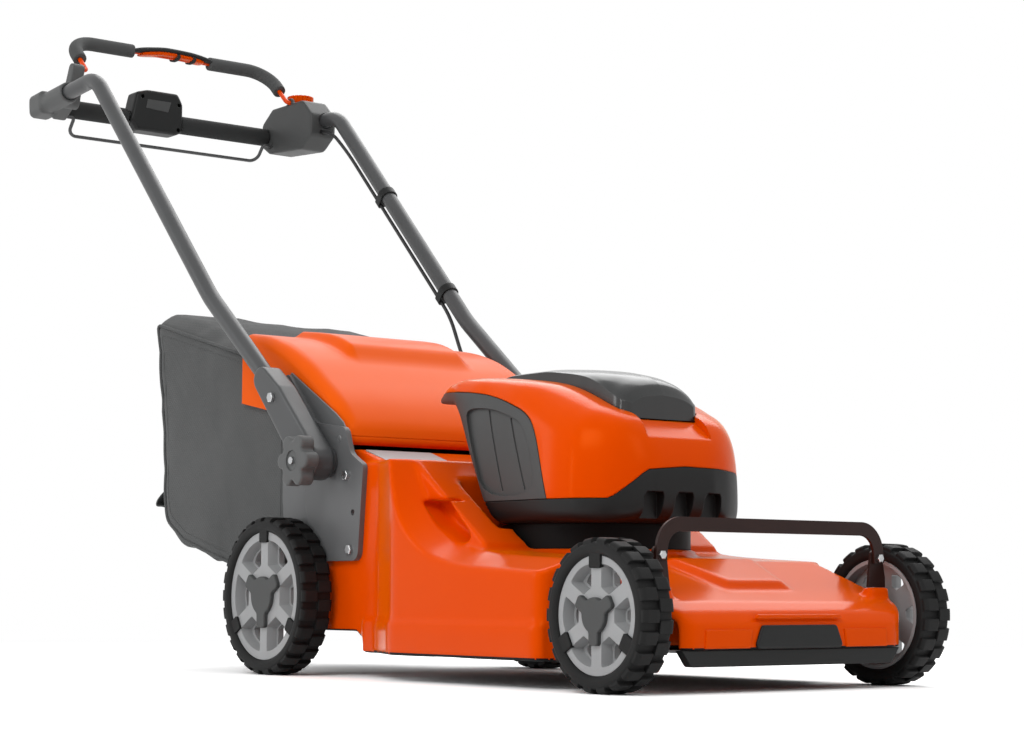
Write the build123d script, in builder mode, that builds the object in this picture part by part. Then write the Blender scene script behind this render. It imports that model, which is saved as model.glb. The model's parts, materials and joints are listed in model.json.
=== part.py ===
"""A battery walk-behind lawn mower with a rear grass collector, as separate pieces.

The origin is on the ground under the middle of the rear axle. +X points forward, +Y to the left
of someone walking behind the mower, and +Z up. All sizes are in millimetres.
"""

import os
from math import cos, pi, radians, tan

from build123d import *

os.makedirs("parts", exist_ok=True)

# Clearances
FIT = 0.1  # between pieces seated in one another
RUN = 0.05  # radial, between a shaft and the bore that it turns in
GAP = 0.4  # between faces that move past one another
SHUT = 0.6  # round a lid or panel in its opening

# Wheels and axles
WHEELBASE = 718.0
FRONT_RADIUS = 90.0
REAR_RADIUS = 110.0
FRONT_WIDTH = 48.0
REAR_WIDTH = 50.0
FRONT_HALF_TRACK = 231.5
REAR_HALF_TRACK = 240.0
SIDEWALL = 20.5
LUG_HEIGHT = 5.0
FRONT_LUGS = 22
REAR_LUGS = 26
FRONT_AXLE_RADIUS = 6.0
REAR_AXLE_RADIUS = 7.0
RIM_RECESS = 5.0
RIM_DISC = 24.0
RIM_BARREL = 5.0
WINDOW_DEPTH = 15.0
SPOKE_HALF = 9.0
HUB_WALL = 10.0
CAP_HEIGHT = 6.0
TONGUE_DEPTH = 8.0
TONGUE_LENGTH = 15.0
TONGUE_WIDTH = 20.0

# Deck
BLADE_X = 415.0
CHAMBER_RADIUS = 238.0
CHAMBER_ROOF = 133.0
DECK_WALL = 6.0
RIM_Z = 34.0
SHOULDER_HALF = 205.0
SHOULDER_LIFT = 18.0
REAR_HALF = 206.0
NOSE_HALF = 198.0
DECK_REAR_X = -25.0
NOSE_X = 793.0
NOSE_BOTTOM = 50.0
TOWER_TOP = 292.0
TUNNEL_HALF = 192.0
TUNNEL_FLOOR = 136.0
FLARE_START_X = 205.0
FLARE_END_X = 290.0
WALL_FRONT_X = 604.0
NECK_X = 628.0
PAD_TOP = 172.0
POCKET_RADIUS = 132.0
CROWN_RISE = 16.0
RIM_STEP = 4.0
RIM_HEIGHT = 44.0
RIM_REAR_X = 172.0
RAMP_TOP_X = 277.0
RAMP_END_X = 436.0
RAMP_FOOT = 153.0
RAMP_HALF = 200.0
RECESS_INNER = 172.0
RAMP_LIP = 6.0
RECESS_TOP = 236.0
RECESS_SETBACK = 18.0
RECESS_FLAT = 58.0
RECESS_WAIST = 44.0
RECESS_DROP = 34.0
RECESS_TOE = 30.0
RECESS_HEEL = 16.0
RECESS_LIFT = 8.0
PANEL_RISE = 9.0
PANEL_ROOT = 6.0
PANEL_SETBACK = 16.0
PANEL_SLOPE = 20.0
PANEL_LENGTH = 98.0
PANEL_REAR_HALF = 68.0
PANEL_FRONT_HALF = 44.0
TOWER_ROOF = 12.0
SADDLE_TOP = 312.0
SADDLE_REAR = 64.0
SADDLE_FRONT = 84.0
SADDLE_FLAT_REAR = 24.0
SADDLE_FLAT_FRONT = 16.0
BUMPER_DEPTH = 4.0
SKIRT_HALF = 180.0
BOLT_RADIUS = 4.0
BOLT_REACH = 12.0
PLATE_BOLTS = ((138.0, 275.0), (148.0, 173.0))

# Carry band over the nose
BAND_X = 750.0
BAND_HALF = 182.0
BAND_TOP = 205.0
BAND_WIDTH = 17.0
BAND_THICKNESS = 4.0
BAND_BOLT_Z = 160.0
BAND_BOLT_RADIUS = 3.0
BAND_PAD_Z = 124.0
BRACKET_THICKNESS = 4.0

# Motor and cutter
PLINTH_RADIUS = 126.0
PLINTH_WALL = 8.0
MOTOR_RADIUS = 62.0
MOTOR_WALL = 5.0
MOTOR_HEIGHT = 66.0
BEARING_HEIGHT = 8.0
BEARING_RADIUS = 16.0
SHAFT_RADIUS = 8.0
ROTOR_RADIUS = 40.0
ROTOR_HEIGHT = 40.0
AIR_GAP = 1.5
BLADE_LENGTH = 456.0
BLADE_WIDTH = 54.0
BLADE_THICKNESS = 4.0
BLADE_Z = 41.0
HUB_FLANGE = 5.0
HUB_HEIGHT = 28.0

# Powerhead
BASE_Z = 204.0
HOOD_HALF = 150.0
HOOD_FRONT_X = 594.0
HOOD_TAIL_X = 218.0
HOOD_TAIL_HALF = 118.0
HOOD_WAIST_X = 336.0
HOOD_TOP = 397.0
HOOD_WALL = 4.0
SEAM_Z = 237.0
SEAM_STEP_X = 548.0
SEAM_STEP_Z = 268.0
VENT_FRONT_X = 500.0
VENT_INNER = 90.0
VENT_BORDER = 12.0
VENT_SLATS = 16
VENT_SLAT_PITCH = 12.0
VENT_LEAN = 14.0
LID_EAR = 9.0
LID_HALF = 64.0
LID_FRONT_X = 551.0
LID_PIN_X = 276.0
LID_PIN_Z = 381.0
LID_PIN_RADIUS = 3.0
LID_KNUCKLE = 6.5
LID_THICKNESS = 9.0
BATTERY_X = 431.0
BATTERY_LENGTH = 150.0
BATTERY_HALF = 50.0
BATTERY_HEIGHT = 118.0
TRAY_THICKNESS = 5.0

# Handle
TUBE_RADIUS = 13.0
TUBE_WALL = 2.0
TUBE_Y = 238.0
PIVOT_X = 94.0
PIVOT_Z = 295.0
LUG_BOLT_X = 5.0
LUG_BOLT_Z = 389.0
LUG_INNER = 222.0
LUG_OUTER = 254.0
PLATE_THICKNESS = 8.0
SPARE_HOLE = (153.0, 224.0)
SPARE_HOLE_RADIUS = 4.25
BAR_X = -785.0
BAR_Z = 948.0
BAR_RADIUS = 11.0
GRIP_RADIUS = 16.0
KNOB_RADIUS = 38.0
KNOB_HEIGHT = 22.0
KNOB_BOLT_RADIUS = 5.0

# Controls on the handle
BAIL_PIVOT_X = -705.0
BAIL_PIVOT_Z = 1000.0
BAIL_TOP_X = -775.0
BAIL_TOP_Z = 1066.0
BAIL_HALF = 200.0
BAIL_WIRE = 4.0
BAIL_FOAM = 12.0
BAIL_PADDLE_HALF = 76.0
WIRE_PIVOT_X = -768.0
WIRE_PIVOT_Z = 930.0
WIRE_LOW_X = -792.0
WIRE_LOW_Z = 903.0
WIRE_HALF = 190.0
WIRE_RADIUS = 3.0
EAR_INNER = 207.0
EAR_DEPTH = 7.0
SOCKET_RADIUS = 18.0
SOCKET_BLOCK = 20.0
SOCKET_SLEEVE = 17.0
SOCKET_LENGTH = 96.0
BOX_INNER = 206.0
BOX_OUTER = 262.0
CONSOLE_RIGHT = -82.0
CONSOLE_LEFT = 22.0
CONSOLE_BOTTOM = 925.0
CONSOLE_TOP = 1000.0
CONSOLE_DEPTH = 40.0
BUTTON_RADIUS = 8.0
BUTTON_DEPTH = 9.0
BUTTON_Y = -30.0
BUTTON_RISE = 32.0
BUTTON_TRAVEL = 2.0
DIAL_X = -719.0
DIAL_Y = 238.0
DIAL_RADIUS = 24.0
DIAL_HEIGHT = 18.0
BOX_TOP = 998.0
CABLE_RADIUS = 3.0
CLIP_WALL = 2.5
CLIP_WIDTH = 14.0
CLIP_SPOTS = (233.0, 492.0)

# Rear flap and collector
FLAP_HALF = 203.0
FLAP_WALL = 4.0
FLAP_PIN_X = 118.0
FLAP_PIN_Z = 327.0
FLAP_PIN_RADIUS = 4.0
FLAP_KNUCKLE = 8.0
FLAP_REAR_X = -165.0
FLAP_RIDGE_HALF = 52.0
BAG_HALF = 195.0
BAG_WALL = 4.0
BAG_FRONT_X = -46.0
BAG_REAR_X = -446.0

DECK_HALF = CHAMBER_RADIUS + DECK_WALL
PLATE_OUTER = REAR_HALF + PLATE_THICKNESS
KNOB_INNER = LUG_OUTER + GAP
KNOB_OUTER = KNOB_INNER + KNOB_HEIGHT


def save(part, name):
    """Label a finished piece and write it to its own file."""
    part.label = name
    export_step(part, f"parts/{name}.step")


def side_plane(y):
    """The upright plane across the width at y, with local x forward and local y up."""
    return Plane.XZ.offset(-y)


def wheel_plane(x, y, z):
    """A wheel's plane: its local z points outwards and its local y up."""
    outwards = 1 if y > 0 else -1
    return Plane(origin=(x, y, z), x_dir=(-outwards, 0, 0), z_dir=(0, outwards, 0))


# Wheels, each made about its own axis with the outer face up


def tongue_sketch(rim_radius, grow):
    """Three tabs of rubber that lap over the rim's spokes."""
    with BuildSketch() as tongues:
        with PolarLocations(rim_radius - TONGUE_LENGTH / 2, 3, start_angle=90):
            RectangleRounded(TONGUE_LENGTH + 2 * grow, TONGUE_WIDTH + 2 * grow, 3 + grow)
        with PolarLocations(rim_radius, 3, start_angle=90):
            Rectangle(TONGUE_LENGTH, TONGUE_WIDTH + 2 * grow)
    return tongues.sketch


def make_tyre(radius, width, lugs):
    """A tyre with two staggered rows of tread lugs and three tabs over the rim."""
    rim_radius = radius - SIDEWALL
    carcass = radius - LUG_HEIGHT
    half = width / 2
    pitch = 2 * pi * radius / lugs
    with BuildPart() as tyre:
        with BuildSketch(Plane.XZ) as section:
            with Locations(((rim_radius + carcass) / 2, 0)):
                RectangleRounded(carcass - rim_radius, width, 5)
        revolve(axis=Axis.Z)
        for row in (-1, 1):
            with Locations((0, 0, row * half / 2)):
                with PolarLocations(carcass, lugs, start_angle=(row + 1) * 90 / lugs - 90):
                    Box(2 * LUG_HEIGHT + 4, pitch * 0.58, half - 2)
        with BuildSketch(Plane.XZ) as envelope:
            with Locations(((rim_radius + radius) / 2, 0)):
                RectangleRounded(radius - rim_radius, width, 7)
        revolve(axis=Axis.Z, mode=Mode.INTERSECT)
        with BuildSketch(Plane.XY.offset(half - RIM_RECESS - TONGUE_DEPTH)) as tongues:
            add(tongue_sketch(rim_radius, 0))
        extrude(amount=TONGUE_DEPTH + RIM_RECESS - 2)
    return tyre.part


def window_sketch(rim_radius, inset):
    """Six windows between straight spokes."""
    near = rim_radius * 0.46 + inset
    far = rim_radius * 0.80 - inset
    slope = tan(pi / 6)
    spoke = (SPOKE_HALF + inset) / cos(pi / 6)
    with BuildSketch() as window:
        with BuildLine():
            Polyline((far, far * slope - spoke), (near, near * slope - spoke))
            Line((near, near * slope - spoke), (near, spoke - near * slope))
            Line((near, spoke - near * slope), (far, spoke - far * slope))
            ThreePointArc(
                (far, spoke - far * slope), (rim_radius * 0.88 - inset, 0), (far, far * slope - spoke)
            )
        make_face()
        fillet(window.vertices(), radius=2.5)
    with BuildSketch() as windows:
        with PolarLocations(0, 6):
            add(window.sketch)
    return windows.sketch


def make_rim(radius, width, axle_radius):
    """A moulded rim: barrel, spoked disc and hub tube, bored for the axle."""
    outer = radius - SIDEWALL - FIT
    half = width / 2
    face = half - RIM_RECESS
    back = face - RIM_DISC
    bore = axle_radius + RUN
    hub = axle_radius + HUB_WALL
    with BuildPart() as rim:
        with BuildSketch(Plane.XZ) as section:
            with BuildLine():
                Polyline(
                    (bore, -half + 2),
                    (hub, -half + 2),
                    (hub, back),
                    (outer - RIM_BARREL, back),
                    (outer - RIM_BARREL, -half + 4),
                    (outer, -half + 4),
                    (outer, face),
                    (bore, face),
                    close=True,
                )
            make_face()
        revolve(axis=Axis.Z)
        with BuildSketch(Plane.XY.offset(face)) as windows:
            add(window_sketch(radius - SIDEWALL, 0))
        extrude(amount=-WINDOW_DEPTH, taper=12, mode=Mode.SUBTRACT)
        with BuildSketch(Plane.XY.offset(face)) as holes:
            add(window_sketch(radius - SIDEWALL, WINDOW_DEPTH * tan(radians(12)) + 2.5))
        extrude(amount=-RIM_DISC, mode=Mode.SUBTRACT)
        with BuildSketch(Plane.XY.offset(face - TONGUE_DEPTH - FIT)) as notches:
            add(tongue_sketch(radius - SIDEWALL, FIT))
        extrude(amount=TONGUE_DEPTH + FIT, mode=Mode.SUBTRACT)
    return rim.part


def make_cap(radius, width):
    """A three-lobed hub cap that lies on the rim's face over the axle's end."""
    rim_radius = radius - SIDEWALL
    face = width / 2 - RIM_RECESS
    with BuildPart() as cap:
        with BuildSketch(Plane.XY.offset(face)) as outline:
            Circle(rim_radius * 0.30)
            with PolarLocations(rim_radius * 0.30, 3, start_angle=-90):
                Rectangle(rim_radius * 0.40, rim_radius * 0.24)
            fillet(outline.vertices(), radius=rim_radius * 0.06)
        extrude(amount=CAP_HEIGHT)
        fillet(cap.faces().sort_by(Axis.Z)[-1].edges(), radius=2)
    return cap.part


WHEELS = {
    "front": (WHEELBASE, FRONT_HALF_TRACK, FRONT_RADIUS, FRONT_WIDTH, FRONT_LUGS, FRONT_AXLE_RADIUS),
    "rear": (0.0, REAR_HALF_TRACK, REAR_RADIUS, REAR_WIDTH, REAR_LUGS, REAR_AXLE_RADIUS),
}

for end, (axle_x, half_track, radius, width, lugs, axle_radius) in WHEELS.items():
    pieces = {
        "tyre": make_tyre(radius, width, lugs),
        "rim": make_rim(radius, width, axle_radius),
        "hub_cap": make_cap(radius, width),
    }
    for side, y in (("right", -half_track), ("left", half_track)):
        place = wheel_plane(axle_x, y, radius).location
        for name, piece in pieces.items():
            save(piece.moved(place), f"{end}_{side}_{name}")
    with BuildPart() as axle:
        reach = half_track + width / 2 - RIM_RECESS - GAP
        with BuildSketch(Plane.XZ) as section:
            with Locations((axle_x, radius)):
                Circle(axle_radius)
        extrude(amount=reach, both=True)
        chamfer(axle.edges(), length=1)
    save(axle.part, f"{end}_axle")

# Deck shell


def deck_profile(lift):
    """The deck's outline seen from the right, with the swept top raised by lift."""
    swoop = (
        (WALL_FRONT_X + 20, 139 + lift),
        (510, 145 + lift),
        (425 + lift / 2, 152 + lift),
        (358 + lift / 2, 170 + lift),
        (314 + lift / 2, 204 + lift),
        (268 + lift / 2, TOWER_TOP),
    )
    with BuildSketch() as profile:
        with BuildLine():
            Polyline(
                (DECK_REAR_X, TOWER_TOP),
                (DECK_REAR_X, 62),
                (150, 62),
                (200, RIM_Z),
                (NECK_X, RIM_Z),
                (NECK_X + 16, NOSE_BOTTOM),
                (NOSE_X, NOSE_BOTTOM),
                (NOSE_X, NOSE_BOTTOM + 30),
                (NOSE_X - 8, NOSE_BOTTOM + 44),
                (NOSE_X - 28, NOSE_BOTTOM + 56),
                swoop[0],
            )
            Spline(*swoop, tangents=[(-1, 0.05), (-0.5, 1)])
            Line(swoop[-1], (DECK_REAR_X, TOWER_TOP))
        make_face()
    return profile.sketch


NOSE_REAR = Vector(WALL_FRONT_X + 20, 0, 139 + SHOULDER_LIFT)
NOSE_BROW = Vector(NOSE_X - 28, 0, NOSE_BOTTOM + 56)
NOSE_SLOPE = (NOSE_BROW - NOSE_REAR).normalized()
NOSE_PLANE = Plane(origin=NOSE_REAR, x_dir=NOSE_SLOPE, z_dir=(-NOSE_SLOPE.Z, 0, NOSE_SLOPE.X))

with BuildPart() as deck:
    for y, lift in (
        (-DECK_HALF, 0),
        (-SHOULDER_HALF, SHOULDER_LIFT),
        (SHOULDER_HALF, SHOULDER_LIFT),
        (DECK_HALF, 0),
    ):
        with BuildSketch(side_plane(y)) as section:
            add(deck_profile(lift))
    loft(ruled=True)
    with BuildSketch() as plan:
        with BuildLine():
            Polyline(
                (DECK_REAR_X, 0),
                (DECK_REAR_X, REAR_HALF),
                (FLARE_START_X, REAR_HALF),
                (FLARE_END_X, DECK_HALF),
                (WALL_FRONT_X, DECK_HALF),
                (NECK_X, NOSE_HALF),
                (NOSE_X, NOSE_HALF),
                (NOSE_X, 0),
                close=True,
            )
        make_face()
        mirror(about=Plane.XZ)
        corners = plan.vertices()
        fillet(corners.filter_by(lambda v: abs(v.X - FLARE_END_X) < 1), radius=60)
        fillet(plan.vertices().filter_by(lambda v: abs(v.X - WALL_FRONT_X) < 1), radius=22)
        fillet(plan.vertices().filter_by(lambda v: abs(v.X - FLARE_START_X) < 1), radius=40)
        fillet(plan.vertices().filter_by(lambda v: v.X > NOSE_X - 1), radius=38)
    extrude(amount=TOWER_TOP + 10, mode=Mode.INTERSECT)
    # A rim stands out round the foot of the side walls
    with BuildSketch(Plane.XY.offset(RIM_Z)) as foot:
        add(plan.sketch)
        offset(amount=RIM_STEP)
        with Locations((RIM_REAR_X, 0)):
            Rectangle(
                WALL_FRONT_X + RIM_STEP - RIM_REAR_X,
                3 * DECK_HALF,
                align=(Align.MIN, Align.CENTER),
                mode=Mode.INTERSECT,
            )
    extrude(amount=RIM_HEIGHT)
    # The tower's top runs down to the front in a ramp, round the powerhead's rear corners
    with BuildSketch(Plane.XZ) as block:
        with BuildLine():
            Polyline(
                (DECK_REAR_X, RAMP_FOOT),
                (DECK_REAR_X, TOWER_TOP),
                (RAMP_TOP_X, TOWER_TOP),
                (RAMP_END_X, PAD_TOP + RAMP_LIP),
                (RAMP_END_X, RAMP_FOOT),
                close=True,
            )
        make_face()
    extrude(amount=RAMP_HALF, both=True)
    # A recess under each side of the ramp, inside the swept shoulder
    recess_rear = RAMP_TOP_X + RECESS_SETBACK
    recess_front = RAMP_END_X - RECESS_TOE
    recess_floor = PAD_TOP + RAMP_LIP
    for side in (-1, 1):
        with BuildSketch(side_plane(side * RECESS_INNER)) as recess:
            with BuildLine():
                FilletPolyline(
                    (recess_rear, RECESS_TOP),
                    (recess_rear + RECESS_FLAT, RECESS_TOP),
                    (recess_front, recess_floor + RECESS_LIFT),
                    (recess_front - RECESS_HEEL, recess_floor),
                    (recess_rear + RECESS_WAIST, RECESS_TOP - RECESS_DROP),
                    radius=[4, 6, 4, 10, 20],
                    close=True,
                )
            make_face()
        extrude(amount=-side * (SHOULDER_HALF + 1 - RECESS_INNER), mode=Mode.SUBTRACT)
    # A raised panel on top of the nose
    for lift, grow in ((-PANEL_ROOT, PANEL_SLOPE), (PANEL_RISE, 0)):
        panel_rear = PANEL_SETBACK - grow / 2
        with BuildSketch(NOSE_PLANE.offset(lift)) as panel:
            with BuildLine():
                Polyline(
                    (panel_rear, PANEL_REAR_HALF + grow),
                    (PANEL_LENGTH + grow, PANEL_FRONT_HALF + grow),
                    (PANEL_LENGTH + grow, -PANEL_FRONT_HALF - grow),
                    (panel_rear, -PANEL_REAR_HALF - grow),
                    close=True,
                )
            make_face()
    loft(ruled=True)
    # A saddle under the flap's hinge, and the pads that the powerhead and the carry band stand on
    with BuildSketch(Plane.XZ) as saddle:
        with BuildLine():
            Polyline(
                (FLAP_PIN_X - SADDLE_REAR, TOWER_TOP),
                (FLAP_PIN_X - SADDLE_FLAT_REAR, SADDLE_TOP),
                (FLAP_PIN_X + SADDLE_FLAT_FRONT, SADDLE_TOP),
                (FLAP_PIN_X + SADDLE_FRONT, TOWER_TOP),
                close=True,
            )
        make_face()
    extrude(amount=REAR_HALF - 12, both=True)
    with BuildSketch(Plane.XY.offset(CHAMBER_ROOF)) as pad:
        with Locations((BLADE_X, 0)):
            Circle(POCKET_RADIUS)
    extrude(amount=PAD_TOP - CHAMBER_ROOF)
    with BuildSketch(Plane.XY.offset(NOSE_BOTTOM + 40)) as band_pads:
        with Locations((BAND_X - 2, BAND_HALF), (BAND_X - 2, -BAND_HALF)):
            Rectangle(14, 36)
    extrude(amount=BAND_PAD_Z - NOSE_BOTTOM - 40)
    # Room for the powerhead
    with BuildSketch(Plane.XY.offset(PAD_TOP)) as pocket:
        with Locations((BLADE_X, 0)):
            Circle(POCKET_RADIUS)
    extrude(amount=TOWER_TOP - PAD_TOP + 40, mode=Mode.SUBTRACT)
    with BuildSketch(Plane.XY.offset(BASE_Z - 6)) as footprint:
        with Locations((HOOD_WAIST_X - 24, 0)):
            Rectangle(206, 2 * (HOOD_HALF + 5), align=(Align.MIN, Align.CENTER))
        fillet(footprint.vertices().group_by(Axis.X)[0], radius=12)
    extrude(amount=TOWER_TOP - BASE_Z + 20, mode=Mode.SUBTRACT)
    # Blade chamber, in two steps, with the hole for the motor's shaft
    with BuildSketch(Plane.XY.offset(RIM_Z - 10)) as chamber:
        with Locations((BLADE_X, 0)):
            Circle(CHAMBER_RADIUS)
    extrude(amount=CHAMBER_ROOF - RIM_Z + 10, mode=Mode.SUBTRACT)
    with BuildSketch(Plane.XY.offset(CHAMBER_ROOF - 1)) as crown:
        with Locations((BLADE_X, 0)):
            Circle(CHAMBER_RADIUS - 44)
    extrude(amount=CROWN_RISE + 1, mode=Mode.SUBTRACT)
    with BuildSketch(Plane.XY.offset(CHAMBER_ROOF)) as shaft_hole:
        with Locations((BLADE_X, 0)):
            Circle(BEARING_RADIUS + 4)
    extrude(amount=PAD_TOP, mode=Mode.SUBTRACT)
    # Grass tunnel from the chamber to the rear mouth
    with BuildSketch(Plane.XZ) as tunnel:
        with BuildLine():
            Polyline(
                (DECK_REAR_X - 5, TUNNEL_FLOOR),
                (110, TUNNEL_FLOOR - 14),
                (262, TUNNEL_FLOOR - 72),
                (300, TUNNEL_FLOOR - 72),
                (300, CHAMBER_ROOF),
                (268, CHAMBER_ROOF + 8),
                (262, TOWER_TOP - TOWER_ROOF - 12),
                (250, TOWER_TOP - TOWER_ROOF),
                (DECK_REAR_X - 5, TOWER_TOP - TOWER_ROOF),
                close=True,
            )
        make_face()
    extrude(amount=TUNNEL_HALF, both=True, mode=Mode.SUBTRACT)
    # Hollow under the tunnel's floor, where the rear axle runs
    with BuildSketch(Plane.XZ) as bay:
        with BuildLine():
            Polyline(
                (DECK_REAR_X - 5, 0),
                (DECK_REAR_X - 5, TUNNEL_FLOOR - 5),
                (110, TUNNEL_FLOOR - 19),
                (160, TUNNEL_FLOOR - 38),
                (160, 0),
                close=True,
            )
        make_face()
    extrude(amount=REAR_HALF - DECK_WALL, both=True, mode=Mode.SUBTRACT)
    # Hollow nose, where the front axle runs
    with BuildSketch(Plane.XZ) as nose:
        with BuildLine():
            Polyline(
                (BLADE_X + CHAMBER_RADIUS + 18, 0),
                (BLADE_X + CHAMBER_RADIUS + 18, NOSE_BOTTOM + 82),
                (NOSE_X - 32, NOSE_BOTTOM + 49),
                (NOSE_X - 10, NOSE_BOTTOM + 30),
                (NOSE_X - 10, 0),
                close=True,
            )
        make_face()
    extrude(amount=NOSE_HALF - DECK_WALL, both=True, mode=Mode.SUBTRACT)
    # Holes for the axles and the bracket bolts
    with BuildSketch(Plane.XZ) as axle_holes:
        with Locations((WHEELBASE, FRONT_RADIUS)):
            Circle(FRONT_AXLE_RADIUS + FIT)
        with Locations((0, REAR_RADIUS)):
            Circle(REAR_AXLE_RADIUS + FIT)
    extrude(amount=DECK_HALF, both=True, mode=Mode.SUBTRACT)
    for side in (-1, 1):
        with BuildSketch(side_plane(side * REAR_HALF)) as bolt_holes:
            with Locations(*PLATE_BOLTS):
                Circle(BOLT_RADIUS + FIT)
        extrude(amount=side * (BOLT_REACH + FIT), mode=Mode.SUBTRACT)
save(deck.part, "deck_shell")

# Nose fittings

with BuildPart() as bumper:
    with BuildSketch(Plane.YZ.offset(NOSE_X)) as outline:
        with BuildLine():
            FilletPolyline(
                (-74, NOSE_BOTTOM + 1),
                (74, NOSE_BOTTOM + 1),
                (62, NOSE_BOTTOM + 29),
                (-62, NOSE_BOTTOM + 29),
                radius=5,
                close=True,
            )
        make_face()
    extrude(amount=BUMPER_DEPTH)
    fillet(bumper.faces().sort_by(Axis.X)[-1].edges(), radius=1.5)
save(bumper.part, "front_bumper")

with BuildPart() as skirt:
    with BuildSketch(Plane.YZ.offset(NOSE_X - 18)) as outline:
        with BuildLine():
            FilletPolyline(
                (-SKIRT_HALF, NOSE_BOTTOM),
                (-SKIRT_HALF + 14, NOSE_BOTTOM - 19),
                (SKIRT_HALF - 14, NOSE_BOTTOM - 19),
                (SKIRT_HALF, NOSE_BOTTOM),
                radius=[0, 8, 8, 0],
                close=True,
            )
        make_face()
    extrude(amount=12)
save(skirt.part, "front_skirt")

with BuildPart() as band:
    with BuildSketch(Plane.YZ.offset(BAND_X)) as outline:
        with BuildLine():
            FilletPolyline(
                (-BAND_HALF, BAND_BOLT_Z - 6),
                (-BAND_HALF + 4, BAND_TOP - BAND_WIDTH / 2),
                (BAND_HALF - 4, BAND_TOP - BAND_WIDTH / 2),
                (BAND_HALF, BAND_BOLT_Z - 6),
                radius=30,
            )
        trace(line_width=BAND_WIDTH)
        with Locations((BAND_HALF, BAND_BOLT_Z), (-BAND_HALF, BAND_BOLT_Z)):
            Circle(BAND_BOLT_RADIUS + FIT, mode=Mode.SUBTRACT)
    extrude(amount=BAND_THICKNESS)
save(band.part, "carry_band")

with BuildPart() as brackets:
    with BuildSketch(Plane.YZ.offset(BAND_X - BRACKET_THICKNESS)) as outline:
        with BuildLine():
            FilletPolyline(
                (BAND_HALF - 16, BAND_PAD_Z),
                (BAND_HALF + 14, BAND_PAD_Z),
                (BAND_HALF + 14, BAND_PAD_Z + 12),
                (BAND_HALF + 8, BAND_BOLT_Z + 10),
                (BAND_HALF - 10, BAND_BOLT_Z + 10),
                radius=[0, 0, 5, 6, 6],
                close=True,
            )
        make_face()
        with Locations((BAND_HALF, BAND_BOLT_Z)):
            Circle(BAND_BOLT_RADIUS + FIT, mode=Mode.SUBTRACT)
    extrude(amount=BRACKET_THICKNESS)
    mirror(about=Plane.XZ)
save(brackets.part, "carry_band_brackets")


def make_bolt(plane, shank_radius, shank_length, head_radius, head_height):
    """A hexagon bolt with the underside of its head on the plane and its shank behind it."""
    with BuildPart() as bolt:
        with BuildSketch(plane) as head:
            RegularPolygon(head_radius, 6)
        extrude(amount=head_height)
        with BuildSketch(plane) as shank:
            Circle(shank_radius)
        extrude(amount=-shank_length)
        chamfer(bolt.faces().sort_by(Axis(plane.origin, plane.z_dir))[-1].edges(), length=0.8)
    return bolt.part


def side_facing(x, y, z):
    """The plane on one side of the mower that looks outwards."""
    outwards = 1 if y > 0 else -1
    return Plane(origin=(x, y, z), x_dir=(1, 0, 0), z_dir=(0, outwards, 0))


with BuildPart() as deck_bolts:
    for side in (-1, 1):
        for x, z in PLATE_BOLTS:
            add(
                make_bolt(
                    side_facing(x, side * PLATE_OUTER, z), BOLT_RADIUS, PLATE_THICKNESS + BOLT_REACH, 7.0, 5.0
                )
            )
        front = Plane(
            origin=(BAND_X + BAND_THICKNESS, side * BAND_HALF, BAND_BOLT_Z),
            x_dir=(0, 1, 0),
            z_dir=(1, 0, 0),
        )
        add(make_bolt(front, BAND_BOLT_RADIUS, BAND_THICKNESS + BRACKET_THICKNESS, 5.5, 4.0))
        # The bolt that the handle folds about
        with BuildSketch(side_plane(side * REAR_HALF)) as section:
            with Locations((PIVOT_X, PIVOT_Z)):
                Circle(KNOB_BOLT_RADIUS)
        extrude(amount=-side * (KNOB_OUTER + 2 - REAR_HALF))
save(deck_bolts.part, "deck_bolts")

# Motor and cutter, about the upright axis through the blade's centre

MOTOR_TOP = PAD_TOP + MOTOR_HEIGHT
ROTOR_Z = PAD_TOP + (MOTOR_HEIGHT - ROTOR_HEIGHT) / 2
CUTTER = Plane(origin=(BLADE_X, 0, 0))


def ring(plane, outer, inner, height):
    """A plain ring that stands on the plane."""
    with BuildPart() as piece:
        with BuildSketch(plane) as section:
            Circle(outer)
            Circle(inner, mode=Mode.SUBTRACT)
        extrude(amount=height)
    return piece.part


plinth = ring(CUTTER.offset(PAD_TOP), PLINTH_RADIUS, PLINTH_RADIUS - PLINTH_WALL, BASE_Z - PAD_TOP)
save(plinth, "motor_plinth")

with BuildPart() as motor_case:
    with BuildSketch(CUTTER.offset(PAD_TOP)) as outline:
        Circle(MOTOR_RADIUS)
    extrude(amount=MOTOR_HEIGHT)
    with BuildSketch(CUTTER.offset(PAD_TOP + BEARING_HEIGHT)) as hollow:
        Circle(MOTOR_RADIUS - MOTOR_WALL)
    extrude(amount=MOTOR_HEIGHT - 2 * BEARING_HEIGHT, mode=Mode.SUBTRACT)
    with BuildSketch(CUTTER.offset(PAD_TOP)) as seats:
        Circle(BEARING_RADIUS + FIT)
    extrude(amount=MOTOR_HEIGHT, mode=Mode.SUBTRACT)
save(motor_case.part, "motor_case")

stator_inner = ROTOR_RADIUS + AIR_GAP
save(
    ring(CUTTER.offset(ROTOR_Z), MOTOR_RADIUS - MOTOR_WALL - FIT, stator_inner, ROTOR_HEIGHT),
    "motor_stator",
)

with BuildPart() as bearings:
    for z in (PAD_TOP, MOTOR_TOP - BEARING_HEIGHT):
        add(ring(CUTTER.offset(z), BEARING_RADIUS, SHAFT_RADIUS + RUN, BEARING_HEIGHT))
save(bearings.part, "motor_bearings")

SHAFT_END = BLADE_Z + BLADE_THICKNESS + HUB_FLANGE + 2

with BuildPart() as rotor:
    with BuildSketch(CUTTER.offset(SHAFT_END)) as shaft:
        Circle(SHAFT_RADIUS)
    extrude(amount=MOTOR_TOP - 1 - SHAFT_END)
    with BuildSketch(CUTTER.offset(ROTOR_Z)) as drum:
        Circle(ROTOR_RADIUS)
    extrude(amount=ROTOR_HEIGHT)
save(rotor.part, "motor_rotor")

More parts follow.
